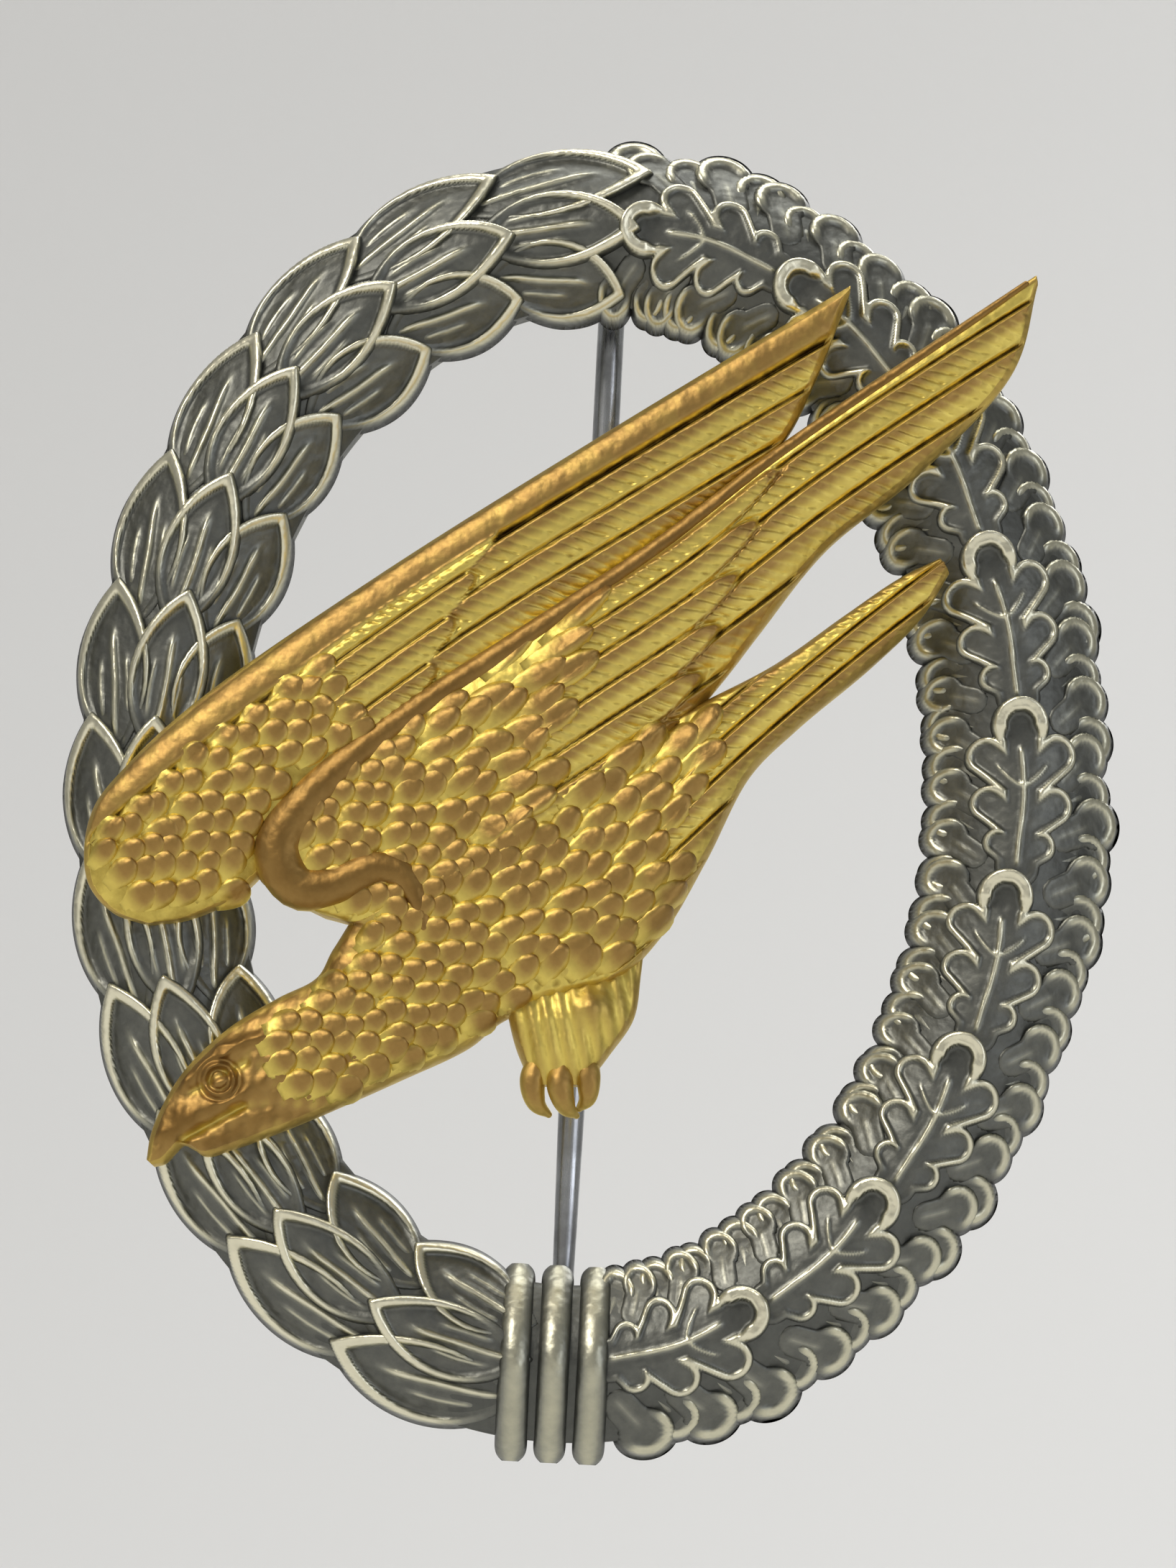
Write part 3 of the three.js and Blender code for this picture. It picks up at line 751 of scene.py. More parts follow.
def surface_tree(flat, height):
    """A search tree over a surface, for measuring it anywhere."""
    points = np.stack([flat[..., 0], -height, flat[..., 1]], axis=2).reshape(-1, 3)
    grid = np.arange(height.size).reshape(height.shape)
    quads = np.stack([grid[:-1, :-1], grid[1:, :-1], grid[1:, 1:], grid[:-1, 1:]], axis=2).reshape(-1, 4)
    return BVHTree.FromPolygons(points.tolist(), quads.tolist())


def height_over(surface, flat):
    """The height in mm of a surface at each [x, z], or 0 beside it."""
    inward = Vector((0, 1, 0))
    hits = [surface.ray_cast(Vector((x, IN_FRONT, z)), inward)[0] for x, z in flat.reshape(-1, 2)]
    return np.array([0.0 if hit is None else -hit.y for hit in hits]).reshape(flat.shape[:-1])


def melt(flat, height, surface, reach=1.3):
    """How much to thicken a form where another one has nearly the same height."""
    other = height_over(surface, flat)
    return np.clip(1 - np.abs(height - other) / reach, 0, 1) ** 2 * reach / 4 * (other > 0)


def on_torso(flat):
    return 1 - step_up(1.5, 5.0, flat[..., 0])


body_flat, body_height = bare_surface(BODY)
wing_flat, wing_height = bare_surface(NEAR_WING)
leg_flat, leg_height = bare_surface(LEG)
far_flat, far_height = bare_surface(FAR_WING)
bare_body = surface_tree(body_flat, body_height)
bare_wing = surface_tree(wing_flat, wing_height)
body_height = body_height + melt(body_flat, body_height, bare_wing) * on_torso(body_flat)
body_height = body_height + melt(body_flat, body_height, surface_tree(leg_flat, leg_height))
wing_height = wing_height + melt(wing_flat, wing_height, bare_body) * on_torso(wing_flat)
print("thickest place of the torso in mm:", round(float(wing_height.max()), 2))

# %% [markdown]
# ### Coordinates that follow the wing
#
# Feathers follow the wing and not the axes. So each form has a guide line, and every point gets
# two numbers from it: how far *along* the line its nearest point lies, and how far *across* the
# point is from the line. Written in those two, a lane of feathers is just a stripe.

# %% Along and across a guide line
FAR_GUIDE = [[-23.0, -4.5], [-18.6, -0.4], [-8.9, 7.9], [-0.2, 14.1], [5.6, 18.1], [9.6, 20.8], [12.0, 22.4]]
NEAR_GUIDE = [[-16.5, -5.0], [-12.4, -1.3], [-7.9, 2.3], [-2.8, 6.1], [2.3, 9.9], [7.1, 14.1], [13.1, 18.7],
              [17.1, 21.6], [19.0, 23.0]]
BODY_GUIDE = [[-18.5, -17.9], [-16.3, -15.8], [-13.4, -13.1], [-9.5, -10.6], [-4.0, -7.4], [1.0, -3.0],
              [6.0, 2.2], [10.3, 6.3], [14.2, 9.7], [16.0, 11.3]]


def guide_coordinates(guide, x, z):
    """Distance along the guide and to its right, in mm, for grids of x and z."""
    line = smooth_line(guide, 240)
    start, step = line[:-1], np.diff(line, axis=0)
    length = np.linalg.norm(step, axis=1)
    before = np.concatenate([[0], np.cumsum(length)[:-1]])
    along, across = np.empty(x.shape), np.empty(x.shape)
    for i, row in enumerate(np.stack([x, z], axis=2)):
        offset = row[:, None] - start[None]
        t = np.clip(np.einsum("pkc,kc->pk", offset, step) / length**2, 0, 1)
        apart = offset - step[None] * t[..., None]
        best = np.argmin(np.einsum("pkc,pkc->pk", apart, apart), axis=1)
        pick = (np.arange(len(row)), best)
        turn = step[best][:, 0] * apart[pick][:, 1] - step[best][:, 1] * apart[pick][:, 0]
        along[i] = before[best] + t[pick] * length[best]
        across[i] = -np.sign(turn) * np.linalg.norm(apart[pick], axis=1)
    return along, across


def past_line(x, z, foot, top):
    """Distance in mm beyond the line from foot to top, towards the wing tip."""
    dx, dz = top[0] - foot[0], top[1] - foot[1]
    return ((x - foot[0]) * dz - (z - foot[1]) * dx) / math.hypot(dx, dz)

# %% [markdown]
# ### Long feathers
#
# Flight feathers lie side by side, and each tucks under the next, like shingles. Across a lane the
# height therefore jumps up out of a narrow groove and then falls slowly. Along it, barbs are short
# slanting cuts, one about every half millimetre.

# %% Lanes of long feathers
BARB_PITCH = 0.55
BARB_SLANT = 0.9
FEATHER_DEPTH = 0.36


def long_feathers(along, across, lane_width):
    """Height and wear of parallel feathers, with painted shade in the grooves between them."""
    lane = np.floor(across / lane_width)
    t = across / lane_width - lane
    shingle = step_up(0.0, 0.16, t) - 0.5 * step_up(0.1, 1.0, t) - 0.35 * step_up(0.88, 1.0, t)
    phase = (along - BARB_SLANT * t * lane_width + 0.37 * lane + 0.05 * np.sin(3.1 * along)) / BARB_PITCH
    cuts = (0.5 + 0.5 * np.cos(2 * np.pi * phase)) ** 4 * step_up(0.14, 0.3, t) * (1 - step_up(0.72, 0.86, t))
    fainter = 0.6 + 0.4 * np.sin(0.9 * along + 2.3 * lane)
    height = FEATHER_DEPTH * (shingle - 0.45) - 0.12 * cuts * fainter
    # The groove between two feathers drops the wear below 0, into the gilding's dark brown: painted shade.
    shaded_groove = 1 - step_up(0.0, 0.1, t) + step_up(0.92, 1.0, t)
    wear = 0.26 + 0.42 * step_up(0.06, 0.18, t) * (1 - step_up(0.3, 0.7, t)) - 0.12 * cuts - 0.3 * shaded_groove
    return height, wear


def lane_arch(across, lane_width):
    """0 at both sides of a lane and 1 along its middle: the round end of its feather."""
    return np.sin(np.pi * (across / lane_width - np.floor(across / lane_width)))


def far_plumage(x, z):
    """A smooth rounded border, a bare shoulder for the scales, then two tiers of long feathers."""
    along, across = guide_coordinates(FAR_GUIDE, x, z)
    border = 1 - step_up(1.2, 1.4, across)
    shaded_groove = bell(across - 1.45, 0.2)
    height, wear = long_feathers(along, across - 1.5, 1.25)
    second, second_wear = long_feathers(along, across - 2.0, 1.1)
    tips = along - 25.0 + 1.6 * across - 0.9 * lane_arch(across - 2.0, 1.1)
    upper = 1 - step_up(-0.1, 0.1, tips)
    height = height + (second + 0.14 - height) * upper - 0.1 * bell(tips - 0.2, 0.2) * (1 - upper)
    wear = wear + (second_wear - wear) * upper
    grown = step_up(12.5, 14.5, along) * (1 - border)
    swell = np.sqrt(np.clip(1 - (across / 0.7 - 1) ** 2, 0, 1))
    height = height * grown + 0.2 * border * swell - 0.16 * shaded_groove
    # The groove under the border is carved, and its wear is lowered as painted shade.
    wear = wear * grown + 0.12 * (1 - grown) * (1 - border) + 0.66 * border - 0.2 * shaded_groove
    return height, wear


def near_plumage(x, z):
    """Two tiers of long feathers, from the coverts to the tip."""
    along, across = guide_coordinates(NEAR_GUIDE, x, z)
    primary, primary_wear = long_feathers(along, across - 0.75, 1.28)
    second, second_wear = long_feathers(along, across - 0.35, 1.18)
    tips = past_line(x, z, (2.0, 1.3), (4.8, 10.3)) - 1.3 * lane_arch(across - 0.35, 1.18) ** 0.8
    upper = 1 - step_up(-0.08, 0.08, tips)
    height = primary + (second + 0.2 - primary) * upper - 0.12 * bell(tips - 0.2, 0.2) * (1 - upper)
    wear = primary_wear + (second_wear - primary_wear) * upper + 0.3 * bell(tips + 0.15, 0.16) * upper
    grown = step_up(-0.8, 0.2, past_line(x, z, (-3.0, -2.5), (-0.9, 6.6))) * step_up(0.55, 0.8, across)
    return height * grown, wear * grown + 0.2 * (1 - grown)

# %% [markdown]
# ### The head
#
# The head is small, and a few marks make it: an eye in its ring, a heavy brow over it, a slit for
# the mouth and a hooked beak. Each mark is a ridge or a groove at some distance from a point or a
# short line. The tail behind is long feathers again.

# %% Head, neck and tail
EYE = (-14.0, -12.75)


def body_plumage(x, z):
    """Tufts between the scales, the marks of the head, and a tail of long feathers."""
    along, across = guide_coordinates(BODY_GUIDE, x, z)
    height, wear = long_feathers(along, across + 0.3, 0.98)
    grown = step_up(-0.4, 0.4, past_line(x, z, (2.0, -6.0), (4.6, 3.6)))
    tufts = np.sin(2 * np.pi * along / 1.15) * np.sin(2 * np.pi * (across + 0.2 * along) / 0.85)
    height = height * grown + 0.04 * tufts * (1 - grown)
    wear = wear * grown + (0.26 + 0.14 * tufts) * (1 - grown)

    eye = np.hypot(x - EYE[0], z - EYE[1])
    lines = [  # from, to, and width of a ridge, in mm
        ((-15.3, -12.8), (-14.0, -11.6), 0.5), ((-14.0, -11.6), (-11.9, -10.7), 0.45),
        ((-15.0, -13.2), (-13.0, -12.0), 0.35), ((-15.2, -14.35), (-12.2, -12.75), 0.5),
        ((-15.35, -15.15), (-13.0, -13.75), 0.32), ((-14.3, -15.35), (-11.6, -13.8), 0.45),
        ((-15.9, -14.9), (-15.6, -14.2), 0.9),
    ]
    ridges = [bell(bar_distance(x, z, start, end, 0.0), width) for start, end, width in lines]
    front_brow, back_brow, socket, cheek, mouth, jaw, cere = ridges
    brow = np.clip(front_brow + back_brow, 0, 1)
    marks = [  # each mark, its height in mm, and how much it raises the wear; below 0 it is painted shade
        (brow, 0.3, 0.34), (socket * (1 - brow), -0.2, -0.26), (cheek, 0.16, 0.26), (mouth, -0.32, -0.36),
        (jaw, 0.12, 0.22), (cere, 0.14, 0.3), (np.sqrt(np.clip(1 - (eye / 0.36) ** 2, 0, 1)), 0.26, 0.2),
        (bell(eye - 0.58, 0.17), 0.17, 0.3), (bell(eye - 0.82, 0.16), -0.12, 0.0),
    ]
    head = 1 - step_up(-13.2, -10.6, x + 0.25 * (z + 12))
    height = height + sum(mark * rise for mark, rise, _ in marks) * head
    # Socket and mouth push the wear below 0, and their dark brown is painted shade in those grooves.
    worn = 0.28 + 0.06 * tufts + sum(mark * wear_and_shade for mark, _, wear_and_shade in marks)
    rim = step_up(-9.8, -9.0, z - 0.55 * x) * (1 - step_up(-9.0, -7.5, x))
    return height, wear * (1 - head) + worn * head + 0.4 * rim


def leg_plumage(x, z):
    """Fine ridges down the thigh, and a round knuckle."""
    knuckle = bell(np.hypot(x - 0.6, z + 9.1), 1.15)
    ridges = np.sin(2 * np.pi * (x + 0.25 * z) / 0.62) * (1 - knuckle)
    return 0.06 * ridges + 0.5 * knuckle, 0.3 + 0.12 * ridges + 0.3 * knuckle

# %% Close a front surface into a form
def form(name, flat, height, plumage, raised=0.0):
    """A closed piece: the front with its plumage, straight sides and a flat back, which may be
    raised a few hundredths so that no two backs lie in one plane."""
    x, z = flat[..., 0], flat[..., 1]
    extra, wear = plumage(x, z)
    width = np.linalg.norm(flat[:, -1] - flat[:, 0], axis=1)[:, None]
    share = np.linalg.norm(flat - flat[:, :1], axis=2)
    rim = np.minimum(share, width - share)
    front = np.stack([x, bird_back / MM - height - extra * step_up(0.0, 0.3, rim), z], axis=2) * MM
    wear = np.where(rim < 0.25, 0.5 + 0.2 * rim, wear)
    piece = struck(name, front, wear, bird_back - raised * MM, gilding_worn_and_groove_shaded)
    finish_piece(piece, "badge", "gilt_brass", "diving_bird")
    return piece


far_wing = form("far_wing", far_flat, far_height, far_plumage)
body = form("body_and_tail", body_flat, body_height, body_plumage, raised=0.03)
near_wing = form("near_wing", wing_flat, wing_height, near_plumage, raised=0.06)
form("leg", leg_flat, leg_height, leg_plumage, raised=0.09)

# %% [markdown]
# ## Short feathers
#
# Shoulders, neck and belly carry small overlapping scales, more than two hundred and fifty in all.
# One scale is a low shell, sunk at its root and raised at its rounded tip, and it has only a few
# dozen faces because it is repeated so often. Geometry Nodes lays the scales flat in front of the
# bird and then pushes every point back until it meets the forms behind. That *draping* fits each
# scale to the swell of the torso, and hides the seam between wing and body.

# %% One small scale
def scale_feather(columns=6, height=0.27 * MM):
    """A shell 1 mm long along X and 1 mm wide. Its tip is at x = 1 mm and its height is along Z."""
    outline = [(0.0, 0.3), (0.2, 0.4), (0.4, 0.47), (0.58, 0.5), (0.74, 0.47), (0.87, 0.38), (0.95, 0.25),
               (1.0, 0.1)]
    x, half = np.array(outline).T[..., None] * MM
    v = np.linspace(-1, 1, columns)
    arch = np.sqrt(1 - v**2)
    lift = height * (0.15 + 0.85 * step_up(0.15, 0.8, x / MM)) * (1 - 0.6 * (x == x[-1]))
    top = np.stack([x + 0 * v, half * v, lift * (0.15 + 0.85 * arch)], axis=2)
    under = top[:, [-1, 0]].copy()
    under[..., 2] = -0.2 * MM
    wear = 0.2 + 0.54 * arch * step_up(0.1, 0.6, x / MM)
    wear = np.concatenate([wear, np.full((len(x), 2), 0.3)], axis=1)
    return skin("scale_feather", np.concatenate([top, under], axis=1), wear, gilding_worn_and_groove_shaded)


scale = scale_feather()
print("one scale:", triangles(scale), "triangles")

# %% The draping tree
def drape_tree():
    """Instances of Feather on the points of Sites, pushed back onto the two forms."""
    tree, given = new_tree("drape_feathers", {
        "Sites": "Object", "Feather": "Object", "Form": "Object", "Second form": "Object",
        "Relief": "Float", "Sink": "Float", "Back": "Float", "Material": "Material",
    })
    turn, size = [
        add(tree, "GeometryNodeInputNamedAttribute", {"Name": name}, data_type="FLOAT_VECTOR")
        for name in ("turn", "size")
    ]
    spin = add(tree, "FunctionNodeEulerToRotation", {"Euler": turn})
    laid = add(tree, "GeometryNodeInstanceOnPoints", {"Points": given["Sites"], "Instance": given["Feather"],
                                                      "Rotation": spin, "Scale": size})
    real = add(tree, "GeometryNodeRealizeInstances", {"Geometry": laid})
    forms = add(tree, "GeometryNodeJoinGeometry", {"Geometry": given["Form"]})
    tree.links.new(given["Second form"], forms.inputs["Geometry"])
    place = add(tree, "ShaderNodeSeparateXYZ", {0: add(tree, "GeometryNodeInputPosition")}).outputs
    source = add(tree, "ShaderNodeCombineXYZ", {"X": place["X"], "Y": IN_FRONT * MM, "Z": place["Z"]})
    ray = add(tree, "GeometryNodeRaycast", {
        "Target Geometry": forms, "Source Position": source, "Ray Direction": (0.0, 1.0, 0.0),
        "Ray Length": 0.1,
    }, data_type="FLOAT").outputs
    hit = add(tree, "ShaderNodeSeparateXYZ", {0: ray["Hit Position"]}).outputs["Y"]
    base = add(tree, "GeometryNodeSwitch", {"Switch": ray["Is Hit"], "False": given["Back"], "True": hit},
               input_type="FLOAT")
    relief = add(tree, "ShaderNodeMath", {0: place["Y"], 1: given["Relief"], 2: given["Sink"]},
                 operation="MULTIPLY_ADD")
    front = add(tree, "ShaderNodeMath", {0: base, 1: relief}, operation="ADD")
    there = add(tree, "ShaderNodeCombineXYZ", {"X": place["X"], "Y": front, "Z": place["Z"]})
    draped = add(tree, "GeometryNodeSetPosition", {"Geometry": real, "Position": there})
    return end_tree(tree, draped, given["Material"])


draping = drape_tree()

# %% [markdown]
# The sites of the scales are rows along a guide line. Each row starts where the last one is about
# two thirds done, and every second row is shifted by half a scale, as roof tiles are. Further out
# on the wing and the body the scales grow longer. A little chance in place, size and direction
# keeps it a bird.

# %% Where the scales go
SCALE_WIDTH = 1.02  # from one scale to the next, in mm
ROW_STEP = 0.68  # from one row to the next, as a share of a scale's length
OVERLAP_LONG, OVERLAP_WIDE = 1.4, 1.15  # how much larger a scale is than its place


def feather_sites(name, guide, span, sides, length, wanted, seed):
    """Sites in rows along a guide. length(along) is in mm, and wanted(x, z) says whether a feather
    may root or end there."""
    chance = np.random.default_rng(seed)
    line = smooth_line(guide, 400)
    run = np.concatenate([[0], np.cumsum(np.linalg.norm(np.diff(line, axis=0), axis=1))])
    heading = np.unwrap(np.arctan2(np.gradient(line[:, 1]), np.gradient(line[:, 0])))
    places, turns, sizes = [], [], []
    along, row = span[0], 0
    while along < span[1]:
        long = length(along)
        for across in np.arange(sides[0] + (row % 2) * SCALE_WIDTH / 2, sides[1], SCALE_WIDTH):
            a = along + chance.normal(0, 0.09) * long
            b = across + chance.normal(0, 0.07) * SCALE_WIDTH
            angle = np.interp(a, run, heading)
            x = np.interp(a, run, line[:, 0]) + b * math.sin(angle)
            z = np.interp(a, run, line[:, 1]) - b * math.cos(angle)
            if wanted(x, z) and wanted(x + long * math.cos(angle), z + long * math.sin(angle)):
                places.append((x * MM, 0.0, z * MM))
                turns += [math.pi / 2, -angle - chance.normal(0, 0.12), 0.0]
                sizes += [long * OVERLAP_LONG * chance.uniform(0.88, 1.1),
                          SCALE_WIDTH * OVERLAP_WIDE * chance.uniform(0.85, 1.12), chance.uniform(0.75, 1.15)]
        along += long * ROW_STEP
        row += 1
    mesh = bpy.data.meshes.new(name)
    mesh.from_pydata(places, [], [])
    mesh.attributes.new("turn", "FLOAT_VECTOR", "POINT").data.foreach_set("vector", turns)
    mesh.attributes.new("size", "FLOAT_VECTOR", "POINT").data.foreach_set("vector", sizes)
    print(f"{name}: {len(places)} feathers")
    return link(name, mesh)


def thickness_at(tree, x, z):
    """The height of one form in mm at x and z."""
    return float(height_over(tree, np.array([[x, z]]))[0])


def well_inside(tree, x, z, margin):
    """Whether a form reaches at least this far around a place."""
    around = [(margin, 0), (-margin, 0), (0, margin), (0, -margin)]
    return all(thickness_at(tree, x + dx, z + dz) > 0 for dx, dz in around)


far_tree = surface_tree(far_flat, far_height)
wing_tree = surface_tree(wing_flat, wing_height)
body_tree = surface_tree(body_flat, body_height)


def on_far_shoulder(x, z):
    return well_inside(far_tree, x, z, 0.15) and thickness_at(wing_tree, x, z) == 0


def on_near_shoulder(x, z):
    if past_line(x, z, (-2.4, -2.5), (-0.2, 6.6)) > 0.5 or not well_inside(wing_tree, x, z, 0.2):
        return False
    return thickness_at(wing_tree, x, z) > thickness_at(body_tree, x, z) - 0.15


def on_body(x, z):
    if past_line(x, z, (3.4, -6.0), (5.6, 3.6)) > 0 or not well_inside(body_tree, x, z, 0.5):
        return False
    return thickness_at(body_tree, x, z) > thickness_at(wing_tree, x, z) - 0.1

# %% Lay and drape them
def drape(name, sites, front, other):
    piece = grow(name, draping, {
        "Sites": sites, "Feather": scale, "Form": front, "Second form": other, "Relief": 0.9,
        "Sink": 0.02 * MM, "Back": bird_back - 0.6 * MM, "Material": gilding_worn_and_groove_shaded,
    })
    finish_piece(piece, "badge", "gilt_brass", "diving_bird")


far_sites = feather_sites("far_scales", FAR_GUIDE, (1.6, 14.0), (1.8, 9.0), lambda along: 1.1,
                          on_far_shoulder, seed=3)
near_sites = feather_sites("near_scales", NEAR_GUIDE, (4.5, 30.0), (1.0, 16.0),
                           lambda along: 1.05 + 0.02 * max(along - 6, 0) ** 1.8, on_near_shoulder, seed=5)
body_sites = feather_sites("body_scales", BODY_GUIDE, (8.5, 34.0), (-7.0, 7.0),
                           lambda along: 1.1 + 0.05 * max(along - 15, 0), on_body, seed=8)
drape("far_shoulder_scales", far_sites, far_wing, near_wing)
drape("near_shoulder_scales", near_sites, near_wing, body)
drape("body_scales_draped", body_sites, body, near_wing)

# %% [markdown]
# ## The wing's fold
#
# A smooth roll of skin runs down the near wing's leading edge, swells at the wrist, turns in and
# dies out on the breast. It is one round bar of changing thickness on a curved path, and so are
# the toes and the hook of the catch. A swept-bar tree makes them all: the curve carries a radius at
# each point, and wear follows from how squarely the surface faces the viewer, since that is what a
# sleeve rubs.

# %% The swept-bar tree
def swept_tree():
    tree, given = new_tree("swept_bar", {
        "Path": "Object", "Sides": "Int", "Least wear": "Float", "Most wear": "Float", "Material": "Material",
    })
    ring = add(tree, "GeometryNodeCurvePrimitiveCircle", {"Resolution": given["Sides"], "Radius": 1.0})
    radius = add(tree, "GeometryNodeInputRadius")
    bar = add(tree, "GeometryNodeCurveToMesh", {"Curve": given["Path"], "Profile Curve": ring,
                                                "Scale": radius, "Fill Caps": True})
    facing = add(tree, "ShaderNodeSeparateXYZ", {0: add(tree, "GeometryNodeInputNormal")}).outputs["Y"]
    worn = add(tree, "ShaderNodeMapRange", {"Value": facing, "From Min": 0.2, "From Max": -1.0,
                                            "To Min": given["Least wear"], "To Max": given["Most wear"]})
    marked = add(tree, "GeometryNodeStoreNamedAttribute", {"Geometry": bar, "Name": "wear", "Value": worn},
                 data_type="FLOAT", domain="POINT")
    smooth = add(tree, "GeometryNodeSetShadeSmooth", {"Geometry": marked})
    return end_tree(tree, smooth, given["Material"])


swept_bar = swept_tree()


def sweep(name, knots, material, wear, sides, steps):
    """A round bar through (x, y, z, radius) knots in mm, with rounded ends."""
    line = smooth_line(knots, steps)
    turn = np.linspace(0, np.pi / 2, 7)[1:]
    for end, step in ((0, 1), (-1, -1)):
        radius, tip = line[end, 3], line[end, :3].copy()
        out = tip - line[end + step, :3]
        out = out / np.linalg.norm(out)
        cap = [np.append(tip + out * radius * math.sin(t), max(radius * math.cos(t), 0.01)) for t in turn]
        line = np.concatenate([line, cap]) if end else np.concatenate([cap[::-1], line])
    path = curve_object(name + "_path", line[:, :3] * MM, line[:, 3] * MM)
    piece = grow(name, swept_bar, {
        "Path": path, "Sides": sides, "Least wear": wear[0], "Most wear": wear[1], "Material": material,
    })
    bpy.data.objects.remove(path)
    return piece

# %% The fold and the toes
FOLD = [  # x, z and radius in mm, from the wing tip to the breast
    (16.7, 21.2, 0.12), (13.1, 18.35, 0.22), (7.1, 13.65, 0.3), (2.3, 9.45, 0.4), (-2.8, 5.55, 0.5),
    (-7.9, 1.7, 0.62), (-11.0, -1.3, 0.85), (-12.2, -3.4, 1.0), (-11.3, -4.9, 0.92), (-9.8, -4.75, 0.8),
    (-8.3, -4.0, 0.72), (-7.1, -4.3, 0.6), (-6.4, -5.5, 0.42), (-6.2, -6.3, 0.2),
]
FOLD_BURIED = 0.45  # how much of its radius lies under the plumage
TOES = [  # x, y from the bird's back, z and radius in mm, from the foot to the claw's tip
    [(-1.2, -0.55, -11.0, 0.5), (-1.6, -0.95, -12.1, 0.52), (-1.4, -0.85, -13.0, 0.38),
     (-0.9, -0.55, -13.4, 0.14)],
    [(-0.4, -0.75, -11.1, 0.5), (-0.5, -1.25, -12.3, 0.54), (-0.2, -1.05, -13.1, 0.38),
     (0.2, -0.75, -13.4, 0.14)],
    [(0.35, -0.55, -10.8, 0.5), (0.6, -0.95, -11.9, 0.5), (0.6, -0.85, -12.7, 0.36),
     (0.3, -0.55, -13.1, 0.14)],
]

laid = []
for x, z, radius in FOLD:
    top = max(thickness_at(wing_tree, x, z), thickness_at(body_tree, x, z), 0.9)
    laid.append((x, bird_back / MM - top + FOLD_BURIED * radius, z, radius))
fold = sweep("wing_fold", laid, gilding_worn_and_groove_shaded, wear=(0.25, 0.95), sides=28, steps=150)
finish_piece(fold, "badge", "gilt_brass", "diving_bird")

for number, toe in enumerate(TOES):
    knots = [(x, bird_back / MM + y, z, radius) for x, y, z, radius in toe]
    piece = sweep(f"toe_{number}", knots, gilding_worn_and_groove_shaded, wear=(0.2, 0.7), sides=16, steps=30)
    finish_piece(piece, "badge", "gilt_brass", "diving_bird")

# %% [markdown]
# ## The back
#
# The wearer's side is plain. Two rivets hold the bird to the wreath, and their heads are hammered
# domes. A round plate at the top carries the hinge bracket and one at the foot carries the catch;
# both are soldered on, and the solder shows as a thin grey fillet. All of them are turned or
# pressed, so a profile spun about an axis or an outline with bevelled edges is enough.

# %% Turned and pressed metal
def turned(name, profile, axis, centre, material, sides=48):
    """Spins a closed profile of (radius, height) in mm about an axis through a centre in mm."""
    radius, height = np.array(profile).T
    turn = np.linspace(0, 2 * np.pi, sides, endpoint=False)[:, None]
    a, b = radius * np.cos(turn), radius * np.sin(turn)
    h = np.broadcast_to(height, a.shape)
    rings = np.stack({"x": (h, a, b), "y": (a, h, b), "z": (a, b, h)}[axis], axis=2)
    return skin(name, (rings + centre) * MM, 0.5, material, closed=True, crisp=True)


def pressed(name, outline, start, end, bevel, centre, material):
    """An outline of (y, z) points in mm, extruded along X from start to end with soft edges."""
    ring = np.array(outline)
    middle = (ring.max(axis=0) + ring.min(axis=0)) / 2
    inner = middle + (ring - middle) * (1 - bevel / (np.ptp(ring, axis=0) / 2))
    levels = [(start, inner), (start + bevel, ring), (end - bevel, ring), (end, inner)]
    rings = np.array([[(x, y, z) for y, z in points] for x, points in levels])
    return skin(name, (rings + centre) * MM, 0.5, material, crisp=True)

# %% Rivets, plates and solder
RIVET_HEAD, RIVET_RISE, RIVET_SHANK = 1.5, 0.9, 0.75
HAMMERED = 0.01  # how uneven the hammer leaves a head, as a share of its radius
back_level = bird_back / MM
rivet = [(0.0, back_level), (RIVET_SHANK, back_level), (RIVET_SHANK, 0.0)]
for t in np.linspace(0, np.pi / 2, 14)[:-1]:
    uneven = 1 + HAMMERED * math.sin(9 * t)
    rivet.append((RIVET_HEAD * math.cos(t) * uneven, RIVET_RISE * math.sin(t)))
rivet.append((0.0, RIVET_RISE))
for side in ("left", "right"):
    at = middle_of(f"rivet_{side}") / MM
    piece = turned(f"rivet_{side}_domed", rivet, "y", (at.x, 0.0, at.z), hammered_nickel)
    finish_piece(piece, "badge", "rivet_metal", f"rivet_{side}")

PLATE_BEVEL = 0.15
for node, radius, thickness in (("hinge_plate", 3.0, 0.6), ("catch_plate", 2.5, 0.4)):
    at = middle_of(node) / MM
    disc = [(0.0, 0.0), (radius, 0.0)]
    for t in np.linspace(0, np.pi / 2, 5):
        disc.append((radius - PLATE_BEVEL * (1 - math.cos(t)), thickness - PLATE_BEVEL * (1 - math.sin(t))))
    disc.append((0.0, thickness))
    plate = turned(f"{node}_turned", disc, "y", (at.x, 0.0, at.z), tarnished_brass, sides=72)
    finish_piece(plate, "badge", "fitting_brass", node)
    fillet = [(0.32, 0.0), (0.16, 0.05), (0.05, 0.14), (-0.03, 0.26), (-0.1, 0.2), (-0.1, 0.0)]
    fillet = [(radius + out, rise) for out, rise in fillet]
    solder = turned(f"{node}_solder", fillet, "y", (at.x, 0.0, at.z), soft_solder, sides=72)
    finish_piece(solder, "badge", "fitting_brass")

# %% [markdown]
# ### The hinge and the needle
#
# The bracket is a strip folded into a channel: a base and two round-headed ears with the axle
# through them. The needle turns on the axle, so its barrel and stem ride on the moving body. The
# stem is steel wire, straight, and ground to a point.

